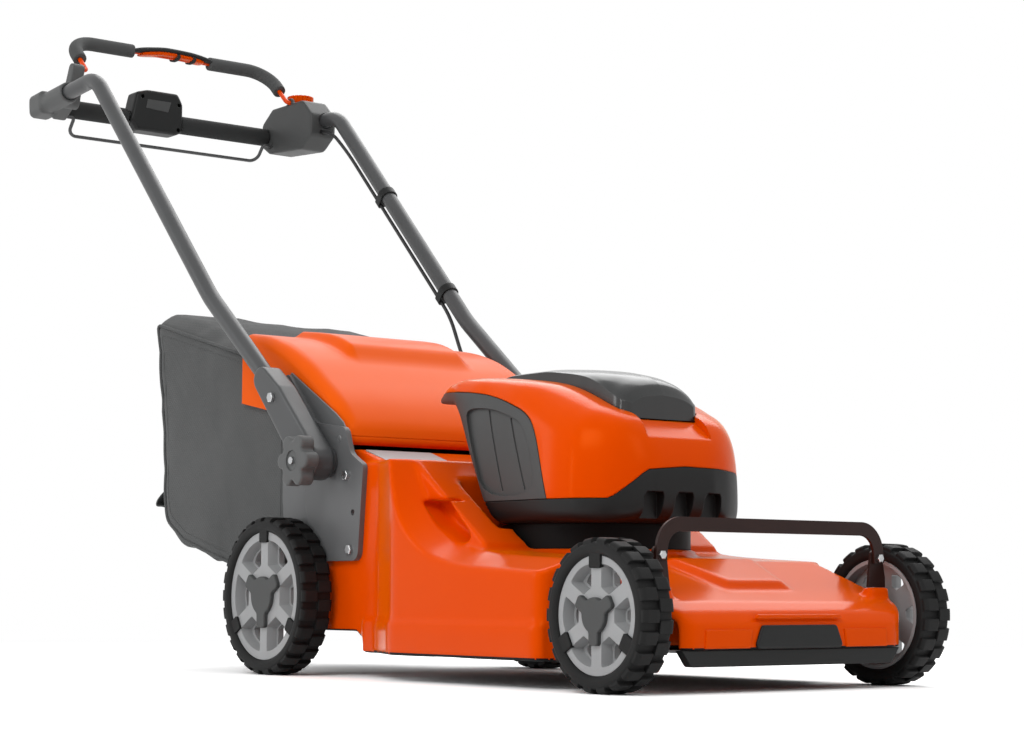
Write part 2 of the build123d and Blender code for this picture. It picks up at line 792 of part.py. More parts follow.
with BuildPart() as hub:
    with BuildSketch(CUTTER.offset(BLADE_Z + BLADE_THICKNESS)) as flange:
        Circle(34)
    extrude(amount=HUB_FLANGE)
    with BuildSketch(CUTTER.offset(BLADE_Z + BLADE_THICKNESS)) as sleeve:
        Circle(SHAFT_RADIUS + 10)
    extrude(amount=HUB_HEIGHT)
    with BuildSketch(CUTTER.offset(SHAFT_END)) as shaft_bore:
        Circle(SHAFT_RADIUS + FIT)
    extrude(amount=HUB_HEIGHT, mode=Mode.SUBTRACT)
    with BuildSketch(CUTTER.offset(BLADE_Z)) as bolt_bore:
        Circle(5 + FIT)
    extrude(amount=HUB_HEIGHT, mode=Mode.SUBTRACT)
save(hub.part, "blade_hub")

with BuildPart() as blade:
    with BuildSketch(CUTTER.offset(BLADE_Z)) as bar:
        RectangleRounded(BLADE_LENGTH, BLADE_WIDTH, 4)
        Circle(5 + FIT, mode=Mode.SUBTRACT)
    extrude(amount=BLADE_THICKNESS)
    # Lift wings rise along the trailing edge of each end
    for end in (-1, 1):
        edge = end * (BLADE_WIDTH / 2)
        with BuildSketch(Plane.YZ.offset(BLADE_X + end * (BLADE_LENGTH / 2 - 4))) as wing:
            with BuildLine():
                Polyline(
                    (edge - end * 16, BLADE_Z + BLADE_THICKNESS / 2),
                    (edge, BLADE_Z + BLADE_THICKNESS + 14),
                    (edge - end * 4, BLADE_Z + BLADE_THICKNESS + 15),
                    (edge - end * 24, BLADE_Z + BLADE_THICKNESS / 2),
                    close=True,
                )
            make_face()
        extrude(amount=-end * 90)
save(blade.part, "blade")

with BuildPart() as blade_bolt:
    with BuildSketch(CUTTER.offset(BLADE_Z)) as head:
        RegularPolygon(12, 6)
    extrude(amount=-6)
    with BuildSketch(CUTTER.offset(BLADE_Z)) as shank:
        Circle(5)
    extrude(amount=SHAFT_END - BLADE_Z)
save(blade_bolt.part, "blade_bolt")

# Drive gearbox on the rear axle

with BuildPart() as gearbox:
    with BuildSketch(Plane.XZ) as outline:
        with Locations((0, REAR_RADIUS - 8)):
            RectangleRounded(60, 40, 8)
        with Locations((0, REAR_RADIUS)):
            Circle(REAR_AXLE_RADIUS + FIT, mode=Mode.SUBTRACT)
    extrude(amount=70, both=True)
    rims = [face.outer_wire().edges() for face in gearbox.faces().filter_by(Axis.Y)]
    chamfer(rims, length=2)
save(gearbox.part, "drive_gearbox")

# Powerhead


def powerhead_form(inset):
    """The powerhead's outer form, drawn in by inset on every side."""
    with BuildPart() as form:
        with BuildSketch() as plan:
            with BuildLine():
                FilletPolyline(
                    (HOOD_TAIL_X, -HOOD_TAIL_HALF),
                    (HOOD_WAIST_X, -HOOD_HALF),
                    (HOOD_FRONT_X, -HOOD_HALF),
                    (HOOD_FRONT_X, HOOD_HALF),
                    (HOOD_WAIST_X, HOOD_HALF),
                    (HOOD_TAIL_X, HOOD_TAIL_HALF),
                    radius=[25, 60, 105, 105, 60, 25],
                    close=True,
                )
            make_face()
            if inset:
                offset(amount=-inset)
        extrude(amount=HOOD_TOP + 20)
        with BuildSketch(Plane.XZ) as side:
            with BuildLine():
                FilletPolyline(
                    (HOOD_WAIST_X + 10, BASE_Z),
                    (HOOD_WAIST_X, SEAM_Z),
                    (HOOD_WAIST_X - 44, HOOD_TOP - 34),
                    (HOOD_TAIL_X, HOOD_TOP - 27),
                    (HOOD_TAIL_X, HOOD_TOP - 14),
                    (300, HOOD_TOP - 4),
                    (420, HOOD_TOP),
                    (515, HOOD_TOP - 7),
                    (562, HOOD_TOP - 30),
                    (588, HOOD_TOP - 84),
                    (HOOD_FRONT_X, SEAM_Z + 20),
                    (HOOD_FRONT_X - 6, BASE_Z + 18),
                    (HOOD_FRONT_X - 20, BASE_Z),
                    radius=[4, 0, 10, 5, 5, 100, 300, 120, 40, 60, 30, 14, 10],
                    close=True,
                )
            make_face()
            if inset:
                offset(amount=-inset)
        extrude(amount=HOOD_HALF + 10, both=True, mode=Mode.INTERSECT)
        with BuildSketch(Plane.YZ) as front:
            with BuildLine():
                FilletPolyline(
                    (-HOOD_HALF, BASE_Z - 10),
                    (HOOD_HALF, BASE_Z - 10),
                    (HOOD_HALF, SEAM_Z + 24),
                    (HOOD_HALF - 24, HOOD_TOP - 50),
                    (HOOD_HALF - 78, HOOD_TOP + 3),
                    (78 - HOOD_HALF, HOOD_TOP + 3),
                    (24 - HOOD_HALF, HOOD_TOP - 50),
                    (-HOOD_HALF, SEAM_Z + 24),
                    radius=[0, 0, 60, 30, 40, 40, 30, 60],
                    close=True,
                )
            make_face()
            if inset:
                offset(amount=-inset)
        extrude(amount=HOOD_FRONT_X + 20, mode=Mode.INTERSECT)
    return form.part


FORM = powerhead_form(0)
FORM_INSIDE = powerhead_form(HOOD_WALL)
FORM_MIDDLE = powerhead_form(HOOD_WALL / 2)


def seam_sketch():
    """The side view of everything under the seam between the base cover and the hood."""
    with BuildSketch() as under:
        with BuildLine():
            Polyline(
                (HOOD_TAIL_X - 20, BASE_Z - 20),
                (HOOD_TAIL_X - 20, SEAM_Z),
                (SEAM_STEP_X, SEAM_Z),
                (SEAM_STEP_X + 24, SEAM_STEP_Z),
                (HOOD_FRONT_X + 20, SEAM_STEP_Z + 6),
                (HOOD_FRONT_X + 20, BASE_Z - 20),
                close=True,
            )
        make_face()
    return under.sketch


def vent_sketch(grow):
    """The side view of a vent panel, grown by a margin."""
    with BuildSketch() as panel:
        with BuildLine():
            FilletPolyline(
                (HOOD_WAIST_X - 10, SEAM_Z + 5),
                (VENT_FRONT_X, SEAM_Z + 5),
                (VENT_FRONT_X - 34, HOOD_TOP - 64),
                (VENT_FRONT_X - 54, HOOD_TOP - 50),
                (HOOD_WAIST_X - 60, HOOD_TOP - 29),
                radius=[0, 4, 10, 10, 0],
                close=True,
            )
        make_face()
        offset(amount=grow)
    return panel.sketch


with BuildPart() as base_cover:
    add(FORM)
    add(FORM_INSIDE, mode=Mode.SUBTRACT)
    with BuildSketch(Plane.XZ) as under:
        add(seam_sketch())
    extrude(amount=HOOD_HALF + 10, both=True, mode=Mode.INTERSECT)
    with BuildSketch(CUTTER.offset(BASE_Z - 5)) as motor_hole:
        Circle(MOTOR_RADIUS + FIT)
    extrude(amount=20, mode=Mode.SUBTRACT)
save(base_cover.part, "base_cover")

with BuildPart() as hood:
    add(FORM)
    add(FORM_INSIDE, mode=Mode.SUBTRACT)
    # A ledge closes the finger recess in front of the lid
    with BuildSketch(Plane.XZ) as ledge:
        with BuildLine():
            Polyline(
                (LID_FRONT_X - 8, HOOD_TOP - 62),
                (LID_FRONT_X, HOOD_TOP - 52),
                (HOOD_FRONT_X, HOOD_TOP - 76),
                (HOOD_FRONT_X, HOOD_TOP - 84),
                close=True,
            )
        make_face()
    ledge_part = extrude(amount=LID_HALF, both=True, mode=Mode.PRIVATE)
    add(ledge_part & FORM)
    with BuildSketch(Plane.XZ) as recess:
        with BuildLine():
            Polyline(
                (LID_FRONT_X, HOOD_TOP + 20),
                (LID_FRONT_X, HOOD_TOP - 52),
                (HOOD_FRONT_X, HOOD_TOP - 76),
                (HOOD_FRONT_X + 20, HOOD_TOP + 20),
                close=True,
            )
        make_face()
    extrude(amount=LID_HALF - 12, both=True, mode=Mode.SUBTRACT)
    with BuildSketch(Plane.XZ) as opening:
        with BuildLine():
            Polyline(
                (LID_PIN_X - LID_KNUCKLE - SHUT, HOOD_TOP - 60),
                (LID_PIN_X - LID_KNUCKLE - SHUT, HOOD_TOP + 20),
                (LID_FRONT_X + SHUT, HOOD_TOP + 20),
                (LID_FRONT_X + SHUT, HOOD_TOP - 51),
                (LID_FRONT_X - 12, HOOD_TOP - 60),
                close=True,
            )
        make_face()
    extrude(amount=LID_HALF + SHUT, both=True, mode=Mode.SUBTRACT)
    # Ears that hold the lid's hinge pin
    for side in (-1, 1):
        with BuildSketch(side_plane(side * (LID_HALF + SHUT))) as ear:
            with Locations((LID_PIN_X, LID_PIN_Z)):
                Circle(LID_KNUCKLE)
        extrude(amount=-side * LID_EAR)
    with BuildSketch(Plane.XZ) as pin_hole:
        with Locations((LID_PIN_X, LID_PIN_Z)):
            Circle(LID_PIN_RADIUS + FIT)
    extrude(amount=LID_HALF + SHUT + LID_EAR + 5, both=True, mode=Mode.SUBTRACT)
    with BuildSketch(Plane.XZ) as under:
        add(seam_sketch())
    extrude(amount=HOOD_HALF + 10, both=True, mode=Mode.SUBTRACT)
    with BuildSketch(side_plane(-VENT_INNER)) as right_hole:
        add(vent_sketch(FIT))
    extrude(amount=HOOD_HALF, mode=Mode.SUBTRACT)
    with BuildSketch(side_plane(VENT_INNER)) as left_hole:
        add(vent_sketch(FIT))
    extrude(amount=-HOOD_HALF, mode=Mode.SUBTRACT)
save(hood.part, "hood")

def make_vent(side):
    """The ribbed vent panel in one side of the hood."""
    with BuildPart() as vent:
        add(FORM)
        add(FORM_INSIDE, mode=Mode.SUBTRACT)
        with BuildSketch(side_plane(side * (VENT_INNER + FIT))) as panel:
            add(vent_sketch(0))
        extrude(amount=-side * HOOD_HALF, mode=Mode.INTERSECT)
        # The middle is sunk to half the wall, leaving slats that run up it
        with BuildSketch(side_plane(side * VENT_INNER)) as sunk:
            add(vent_sketch(-VENT_BORDER))
            with Locations((VENT_FRONT_X - 90, SEAM_Z)):
                with GridLocations(VENT_SLAT_PITCH, 1, VENT_SLATS, 1):
                    Rectangle(VENT_SLAT_PITCH / 2, 400, rotation=VENT_LEAN, mode=Mode.SUBTRACT)
        grooves = extrude(amount=-side * HOOD_HALF, mode=Mode.PRIVATE)
        add(grooves & (FORM - FORM_MIDDLE), mode=Mode.SUBTRACT)
    return vent.part


with BuildPart() as vents:
    for side in (-1, 1):
        add(make_vent(side))
save(vents.part, "side_vents")

with BuildPart() as lid:
    with BuildSketch(Plane.XZ) as outline:
        with BuildLine():
            Polyline(
                (LID_PIN_X, LID_PIN_Z + LID_KNUCKLE),
                (300, HOOD_TOP + 4),
                (420, HOOD_TOP + 8),
                (500, HOOD_TOP + 2),
                (538, HOOD_TOP - 11),
                (LID_FRONT_X, HOOD_TOP - 27),
                (LID_FRONT_X - 2, HOOD_TOP - 48),
                (LID_FRONT_X - 10, HOOD_TOP - 48),
                (LID_FRONT_X - 11, HOOD_TOP - 32),
                (532, HOOD_TOP - 20),
                (498, HOOD_TOP + 2 - LID_THICKNESS),
                (420, HOOD_TOP + 8 - LID_THICKNESS),
                (302, HOOD_TOP + 4 - LID_THICKNESS),
                (LID_PIN_X, LID_PIN_Z - LID_KNUCKLE),
                close=True,
            )
        make_face()
        with Locations((LID_PIN_X, LID_PIN_Z)):
            Circle(LID_KNUCKLE)
    extrude(amount=LID_HALF, both=True)
    top_edges = lid.edges().filter_by(lambda e: abs(abs(e.center().Y) - LID_HALF) < 0.1)
    chamfer(top_edges.filter_by(lambda e: e.center().Z > HOOD_TOP - 12 and e.center().X > 300), length=3)
    with BuildSketch(Plane.XZ) as pin_bore:
        with Locations((LID_PIN_X, LID_PIN_Z)):
            Circle(LID_PIN_RADIUS + RUN)
    extrude(amount=LID_HALF + 5, both=True, mode=Mode.SUBTRACT)
save(lid.part, "battery_lid")

with BuildPart() as pins:
    with BuildSketch(Plane.XZ) as section:
        with Locations((LID_PIN_X, LID_PIN_Z)):
            Circle(LID_PIN_RADIUS)
    extrude(amount=LID_HALF + SHUT + LID_EAR, both=True)
    with BuildSketch(Plane.XZ) as section:
        with Locations((FLAP_PIN_X, FLAP_PIN_Z)):
            Circle(FLAP_PIN_RADIUS)
    extrude(amount=PLATE_OUTER, both=True)
save(pins.part, "hinge_pins")

with BuildPart() as tray:
    with BuildSketch(Plane.XY.offset(MOTOR_TOP)) as floor:
        with Locations((BATTERY_X, 0)):
            RectangleRounded(BATTERY_LENGTH + 16, 2 * BATTERY_HALF + 16, 8)
    extrude(amount=TRAY_THICKNESS)
    with BuildSketch(Plane.XY.offset(MOTOR_TOP + TRAY_THICKNESS)) as walls:
        with Locations((BATTERY_X, 0)):
            RectangleRounded(BATTERY_LENGTH + 16, 2 * BATTERY_HALF + 16, 8)
            Rectangle(BATTERY_LENGTH + 2 * GAP, 2 * BATTERY_HALF + 2 * GAP, mode=Mode.SUBTRACT)
    extrude(amount=24)
save(tray.part, "battery_tray")

with BuildPart() as battery:
    with BuildSketch(Plane.XY.offset(MOTOR_TOP + TRAY_THICKNESS)) as outline:
        with Locations((BATTERY_X, 0)):
            RectangleRounded(BATTERY_LENGTH, 2 * BATTERY_HALF, 6)
    extrude(amount=BATTERY_HEIGHT)
    chamfer(battery.faces().sort_by(Axis.Z)[-1].edges(), length=4)
save(battery.part, "battery_pack")

with BuildPart() as board:
    with BuildSketch(Plane.XY.offset(BASE_Z + HOOD_WALL)) as outline:
        with Locations((BLADE_X + MOTOR_RADIUS + 45, 0)):
            Rectangle(60, 120)
    extrude(amount=3)
    with BuildSketch(Plane.XY.offset(BASE_Z + HOOD_WALL + 3)) as chips:
        with Locations((BLADE_X + MOTOR_RADIUS + 45, 0)):
            with GridLocations(26, 36, 2, 3):
                Rectangle(14, 20)
    extrude(amount=9)
save(board.part, "controller_board")

# Handle brackets on the tower's sides

with BuildPart() as plates:
    for side in (-1, 1):
        with BuildSketch(side_plane(side * REAR_HALF)) as outline:
            with BuildLine():
                FilletPolyline(
                    (-42, 414),
                    (-18, 428),
                    (58, 352),
                    (132, 342),
                    (146, 305),
                    (178, 288),
                    (166, 158),
                    (60, 158),
                    (26, 254),
                    (46, 296),
                    radius=[10, 10, 25, 14, 20, 10, 14, 14, 30, 30],
                    close=True,
                )
            make_face()
            with Locations(*PLATE_BOLTS):
                Circle(BOLT_RADIUS + FIT, mode=Mode.SUBTRACT)
            with Locations((PIVOT_X, PIVOT_Z)):
                Circle(KNOB_BOLT_RADIUS + FIT, mode=Mode.SUBTRACT)
            with Locations((FLAP_PIN_X, FLAP_PIN_Z)):
                Circle(FLAP_PIN_RADIUS + FIT, mode=Mode.SUBTRACT)
            with Locations(SPARE_HOLE):
                Circle(SPARE_HOLE_RADIUS, mode=Mode.SUBTRACT)
        extrude(amount=-side * PLATE_THICKNESS)
save(plates.part, "handle_brackets")

for name, side in (("right", -1), ("left", 1)):
    with BuildPart() as knob:
        with BuildSketch(side_plane(side * KNOB_INNER)) as star:
            with Locations((PIVOT_X, PIVOT_Z)):
                Circle(KNOB_RADIUS * 0.72)
                with PolarLocations(KNOB_RADIUS * 0.70, 6):
                    Circle(KNOB_RADIUS * 0.30)
        extrude(amount=-side * KNOB_HEIGHT)
        outer_face = knob.faces().sort_by(Axis.Y)[0 if side < 0 else -1]
        fillet(outer_face.edges(), radius=3)
        with BuildSketch(side_plane(side * KNOB_INNER)) as bore:
            with Locations((PIVOT_X, PIVOT_Z)):
                Circle(KNOB_BOLT_RADIUS + RUN)
        extrude(amount=-side * (KNOB_HEIGHT + 5), mode=Mode.SUBTRACT)
    save(knob.part, f"star_knob_{name}")

# Handle tubes and the lugs that they stand in

TUBE_LOW_BEND = Vector(-202, 0, 555)
TUBE_TOP_BEND = Vector(-595, 0, 961)
LUG_BOLT = Vector(LUG_BOLT_X, 0, LUG_BOLT_Z)
LOW_RUN = (TUBE_LOW_BEND - LUG_BOLT).normalized()
MAIN_RUN = (TUBE_LOW_BEND - TUBE_TOP_BEND).normalized()
BAR_END = Vector(BAR_X, 0, BAR_Z)
REAR_RUN = (BAR_END - TUBE_TOP_BEND).normalized()
TUBE_FOOT = LUG_BOLT + LOW_RUN * 22
TUBE_TAIL = BAR_END - REAR_RUN * 22

for name, side in (("right", -1), ("left", 1)):
    at_side = Vector(0, side * TUBE_Y, 0)
    with BuildPart() as tube:
        with BuildLine() as path:
            FilletPolyline(
                TUBE_FOOT + at_side,
                TUBE_LOW_BEND + at_side,
                TUBE_TOP_BEND + at_side,
                TUBE_TAIL + at_side,
                radius=[250, 62],
            )
        with BuildSketch(Plane(origin=path.line @ 0, z_dir=path.line % 0)) as section:
            Circle(TUBE_RADIUS)
            Circle(TUBE_RADIUS - TUBE_WALL, mode=Mode.SUBTRACT)
        sweep()
    save(tube.part, f"handle_tube_{name}")


def make_lug(side):
    """The tapered link between the pivot bolt and the foot of one tube."""
    top = LUG_BOLT + LOW_RUN * 46
    with BuildPart() as lug:
        with BuildSketch(side_plane(side * LUG_INNER)) as outline:
            with Locations((PIVOT_X, PIVOT_Z)):
                Circle(26)
            with Locations((LUG_BOLT_X, LUG_BOLT_Z)):
                Circle(21)
            with Locations((top.X, top.Z)):
                Circle(18)
            make_hull()
        extrude(amount=-side * (LUG_OUTER - LUG_INNER))
        fillet(lug.faces().filter_by(Axis.Y).edges(), radius=3)
        with BuildSketch(side_plane(side * (PLATE_OUTER + GAP))) as boss:
            with Locations((PIVOT_X, PIVOT_Z)):
                Circle(22)
        extrude(amount=-side * (LUG_INNER - PLATE_OUTER - GAP + 5))
        with BuildSketch(side_plane(side * PLATE_OUTER)) as bolt_bores:
            with Locations((PIVOT_X, PIVOT_Z)):
                Circle(KNOB_BOLT_RADIUS + RUN)
            with Locations((LUG_BOLT_X, LUG_BOLT_Z)):
                Circle(BOLT_RADIUS + FIT)
        extrude(amount=-side * (LUG_OUTER - PLATE_OUTER + 5), mode=Mode.SUBTRACT)
        foot = Plane(origin=TUBE_FOOT + Vector(0, side * TUBE_Y, 0), z_dir=LOW_RUN)
        with BuildSketch(foot) as tube_bore:
            Circle(TUBE_RADIUS + FIT)
        extrude(amount=80, mode=Mode.SUBTRACT)
    return lug.part


with BuildPart() as lugs:
    for side in (-1, 1):
        add(make_lug(side))
save(lugs.part, "handle_lugs")

with BuildPart() as lug_bolts:
    for side in (-1, 1):
        add(
            make_bolt(
                side_facing(LUG_BOLT_X, side * LUG_OUTER, LUG_BOLT_Z),
                BOLT_RADIUS,
                LUG_OUTER - LUG_INNER,
                7.5,
                5.5,
            )
        )
save(lug_bolts.part, "lug_bolts")

# Cross bar, its grips, and the right corner's socket

with BuildPart() as cross_bar:
    with BuildSketch(Plane.XZ) as section:
        with Locations((BAR_X, BAR_Z)):
            Circle(BAR_RADIUS)
            Circle(BAR_RADIUS - TUBE_WALL, mode=Mode.SUBTRACT)
    extrude(amount=TUBE_Y - 14, both=True)
save(cross_bar.part, "cross_bar")

SOCKET_INNER = TUBE_Y - 36

with BuildPart() as grips:
    for start, end in ((-SOCKET_INNER, CONSOLE_RIGHT), (CONSOLE_LEFT, BOX_INNER)):
        with BuildSketch(side_plane(start)) as section:
            with Locations((BAR_X, BAR_Z)):
                Circle(GRIP_RADIUS)
                Circle(BAR_RADIUS + FIT, mode=Mode.SUBTRACT)
        extrude(amount=start - end)
save(grips.part, "bar_grips")

with BuildPart() as socket:
    corner = BAR_END + Vector(0, -TUBE_Y, 0)
    along = Plane(origin=corner, z_dir=-REAR_RUN)
    # A block with rounded edges holds the two sleeves
    with BuildSketch(along.offset(-SOCKET_BLOCK)) as block:
        RectangleRounded(2 * SOCKET_BLOCK, 2 * SOCKET_BLOCK, SOCKET_BLOCK / 2)
    extrude(amount=2 * SOCKET_BLOCK)
    with BuildSketch(along) as along_tube:
        Circle(SOCKET_RADIUS)
    extrude(amount=SOCKET_LENGTH)
    with BuildSketch(Plane(origin=corner, z_dir=(0, 1, 0))) as along_bar:
        Circle(SOCKET_SLEEVE)
    extrude(amount=TUBE_Y - SOCKET_INNER)
    with BuildSketch(side_plane(-EAR_INNER)) as ear:
        with Locations((BAIL_PIVOT_X, BAIL_PIVOT_Z)):
            Circle(9)
        with Locations((BAIL_PIVOT_X - 20, BAR_Z)):
            Circle(14)
        make_hull()
    extrude(amount=TUBE_Y - EAR_INNER - 8)
    with BuildSketch(side_plane(-EAR_INNER)) as low_ear:
        with Locations((WIRE_PIVOT_X, WIRE_PIVOT_Z)):
            Circle(7.5)
        with Locations((BAIL_PIVOT_X - 40, BAR_Z)):
            Circle(12)
        make_hull()
    extrude(amount=TUBE_Y - EAR_INNER - 8)
    with BuildSketch(Plane(origin=corner - REAR_RUN * 22, z_dir=-REAR_RUN)) as tube_bore:
        Circle(TUBE_RADIUS + FIT)
    extrude(amount=120, mode=Mode.SUBTRACT)
    with BuildSketch(side_plane(-TUBE_Y + 14)) as bar_bore:
        with Locations((BAR_X, BAR_Z)):
            Circle(BAR_RADIUS + FIT)
    extrude(amount=-40, mode=Mode.SUBTRACT)
    with BuildSketch(side_plane(-EAR_INNER)) as pivot_bores:
        with Locations((BAIL_PIVOT_X, BAIL_PIVOT_Z)):
            Circle(BAIL_WIRE + RUN)
        with Locations((WIRE_PIVOT_X, WIRE_PIVOT_Z)):
            Circle(WIRE_RADIUS + RUN)
    extrude(amount=EAR_DEPTH, mode=Mode.SUBTRACT)
save(socket.part, "corner_socket")

# Control box on the left corner, with its dial and the way in for the cable

CABLE_Y = TUBE_Y - 8
CABLE_ENTRY = Vector(-646, CABLE_Y, 941)
CABLE_EXIT = Vector(-598, CABLE_Y, 930)

with BuildPart() as control_box:
    with BuildSketch(side_plane(BOX_INNER)) as outline:
        with BuildLine():
            FilletPolyline(
                (-632, 930),
                (-630, 968),
                (-662, BOX_TOP),
                (-765, BOX_TOP),
                (-800, BOX_TOP - 24),
                (-803, 934),
                (-775, 916),
                (-665, 908),
                radius=[10, 10, 12, 12, 12, 12, 12, 12],
                close=True,
            )
        make_face()
    extrude(amount=BOX_INNER - BOX_OUTER)
    chamfer(control_box.faces().sort_by(Axis.Y)[-1].edges(), length=7)
    with BuildSketch(side_plane(BOX_INNER)) as ear:
        with Locations((BAIL_PIVOT_X, BAIL_PIVOT_Z)):
            Circle(9)
        with Locations((BAIL_PIVOT_X, BAIL_PIVOT_Z - 20)):
            Circle(12)
        make_hull()
    extrude(amount=-EAR_DEPTH)
    with BuildSketch(Plane(origin=TUBE_TAIL + Vector(0, TUBE_Y, 0), z_dir=-REAR_RUN)) as tube_bore:
        Circle(TUBE_RADIUS + FIT)
    extrude(amount=200, mode=Mode.SUBTRACT)
    with BuildSketch(side_plane(TUBE_Y - 14)) as bar_bore:
        with Locations((BAR_X, BAR_Z)):
            Circle(BAR_RADIUS + FIT)
    extrude(amount=40, mode=Mode.SUBTRACT)
    with BuildSketch(side_plane(BOX_INNER)) as pivot_bores:
        with Locations((BAIL_PIVOT_X, BAIL_PIVOT_Z)):
            Circle(BAIL_WIRE + RUN)
        with Locations((WIRE_PIVOT_X, WIRE_PIVOT_Z)):
            Circle(WIRE_RADIUS + RUN)
    extrude(amount=-EAR_DEPTH, mode=Mode.SUBTRACT)
    with BuildSketch(Plane(origin=CABLE_ENTRY, z_dir=CABLE_EXIT - CABLE_ENTRY)) as gland:
        Circle(CABLE_RADIUS + FIT)
    extrude(amount=40, mode=Mode.SUBTRACT)
    with BuildSketch(Plane.XY.offset(BOX_TOP - 12)) as spindle_bore:
        with Locations((DIAL_X, DIAL_Y)):
            Circle(6 + RUN)
    extrude(amount=40, mode=Mode.SUBTRACT)
save(control_box.part, "control_box")

with BuildPart() as dial:
    with BuildSketch(Plane.XY.offset(BOX_TOP + GAP)) as outline:
        with Locations((DIAL_X, DIAL_Y)):
            Circle(DIAL_RADIUS)
            with PolarLocations(DIAL_RADIUS, 18):
                Circle(1.6, mode=Mode.SUBTRACT)
    extrude(amount=DIAL_HEIGHT)
    fillet(dial.faces().sort_by(Axis.Z)[-1].edges(), radius=1.2)
    with BuildSketch(Plane.XY.offset(BOX_TOP - 10)) as spindle:
        with Locations((DIAL_X, DIAL_Y)):
            Circle(6)
    extrude(amount=12)
save(dial.part, "speed_dial")

# Start console round the middle of the cross bar. Its button faces whoever pushes the mower

BUTTON_PLANE = Plane(
    origin=(BAR_X - CONSOLE_DEPTH / 2, BUTTON_Y, BAR_Z + BUTTON_RISE), x_dir=(0, -1, 0), z_dir=(-1, 0, 0)
)

with BuildPart() as console:
    with BuildSketch(Plane.YZ.offset(BAR_X - CONSOLE_DEPTH / 2)) as outline:
        with BuildLine():
            FilletPolyline(
                (CONSOLE_RIGHT, BAR_Z - 6),
                (CONSOLE_RIGHT + 12, CONSOLE_TOP - 6),
                (CONSOLE_RIGHT + 34, CONSOLE_TOP),
                (CONSOLE_LEFT - 10, CONSOLE_TOP),
                (CONSOLE_LEFT, CONSOLE_TOP - 18),
                (CONSOLE_LEFT, CONSOLE_BOTTOM + 6),
                (CONSOLE_LEFT - 12, CONSOLE_BOTTOM),
                (CONSOLE_RIGHT + 14, CONSOLE_BOTTOM),
                radius=6,
                close=True,
            )
        make_face()
    extrude(amount=CONSOLE_DEPTH)
    chamfer(console.faces().filter_by(Axis.X).edges(), length=4)
    with BuildSketch(side_plane(CONSOLE_LEFT + 5)) as bar_bore:
        with Locations((BAR_X, BAR_Z)):
            Circle(BAR_RADIUS + FIT)
    extrude(amount=CONSOLE_LEFT - CONSOLE_RIGHT + 10, mode=Mode.SUBTRACT)
    with BuildSketch(BUTTON_PLANE) as well:
        Circle(BUTTON_RADIUS + GAP)
    extrude(amount=-BUTTON_DEPTH, mode=Mode.SUBTRACT)
save(console.part, "start_console")

with BuildPart() as button:
    with BuildSketch(BUTTON_PLANE.offset(-BUTTON_DEPTH + BUTTON_TRAVEL + GAP)) as outline:
        Circle(BUTTON_RADIUS)
    extrude(amount=BUTTON_DEPTH)
    fillet(button.faces().sort_by(Axis.X)[0].edges(), radius=1)
save(button.part, "start_button")

# Upper bail: a bent wire in orange, two foam grips and a paddle in the middle


def bail_corner(side):
    """The bail's pivot, its bend at the pivot and its top corner on one side."""
    y = side * BAIL_HALF
    return (
        Vector(BAIL_PIVOT_X, side * (EAR_INNER + EAR_DEPTH - 1), BAIL_PIVOT_Z),
        Vector(BAIL_PIVOT_X, y, BAIL_PIVOT_Z),
        Vector(BAIL_TOP_X, y, BAIL_TOP_Z),
    )


with BuildPart() as bail_wire:
    with BuildLine() as path:
        FilletPolyline(*bail_corner(-1), *reversed(bail_corner(1)), radius=[6, 45, 45, 6])
    with BuildSketch(Plane(origin=path.line @ 0, z_dir=path.line % 0)) as section:
        Circle(BAIL_WIRE)
    sweep()
save(bail_wire.part, "bail_wire")

with BuildPart() as bail_grips:
    for side in (-1, 1):
        stub, bend, top = bail_corner(side)
        foam_start = top + (bend - top).normalized() * 62
        with BuildLine() as path:
            FilletPolyline(foam_start, top, Vector(top.X, side * BAIL_PADDLE_HALF, top.Z), radius=45)
        with BuildSketch(Plane(origin=path.line @ 0, z_dir=path.line % 0)) as section:
            Circle(BAIL_FOAM)
            Circle(BAIL_WIRE + FIT, mode=Mode.SUBTRACT)
        sweep()
save(bail_grips.part, "bail_grips")

with BuildPart() as paddle:
    with BuildSketch(side_plane(BAIL_PADDLE_HALF)) as section:
        with Locations((BAIL_TOP_X, BAIL_TOP_Z + 3)):
            RectangleRounded(34, 24, 9)
        with Locations((BAIL_TOP_X, BAIL_TOP_Z)):
            Circle(BAIL_WIRE + FIT, mode=Mode.SUBTRACT)
    extrude(amount=2 * BAIL_PADDLE_HALF)
save(paddle.part, "bail_paddle")

# Lower bail, a thin bent wire


def wire_corner(side):
    """The lower bail's pivot, its bend at the pivot and its low corner on one side."""
    y = side * WIRE_HALF
    return (
        Vector(WIRE_PIVOT_X, side * (EAR_INNER + EAR_DEPTH - 1), WIRE_PIVOT_Z),
        Vector(WIRE_PIVOT_X, y, WIRE_PIVOT_Z),
        Vector(WIRE_LOW_X, y, WIRE_LOW_Z),
    )


with BuildPart() as low_bail:
    with BuildLine() as path:
        FilletPolyline(*wire_corner(-1), *reversed(wire_corner(1)), radius=[6, 16, 16, 6])
    with BuildSketch(Plane(origin=path.line @ 0, z_dir=path.line % 0)) as section:
        Circle(WIRE_RADIUS)
    sweep()
save(low_bail.part, "lower_bail")

# Control cable down the left tube, with its clips

CABLE_OFFSET = Vector(MAIN_RUN.Z, 0, -MAIN_RUN.X) * (TUBE_RADIUS + CABLE_RADIUS + 1)


def along_tube(distance):
    """A point of the cable beside the left tube, so far from its top bend."""
    return TUBE_TOP_BEND + MAIN_RUN * distance + CABLE_OFFSET + Vector(0, CABLE_Y, 0)


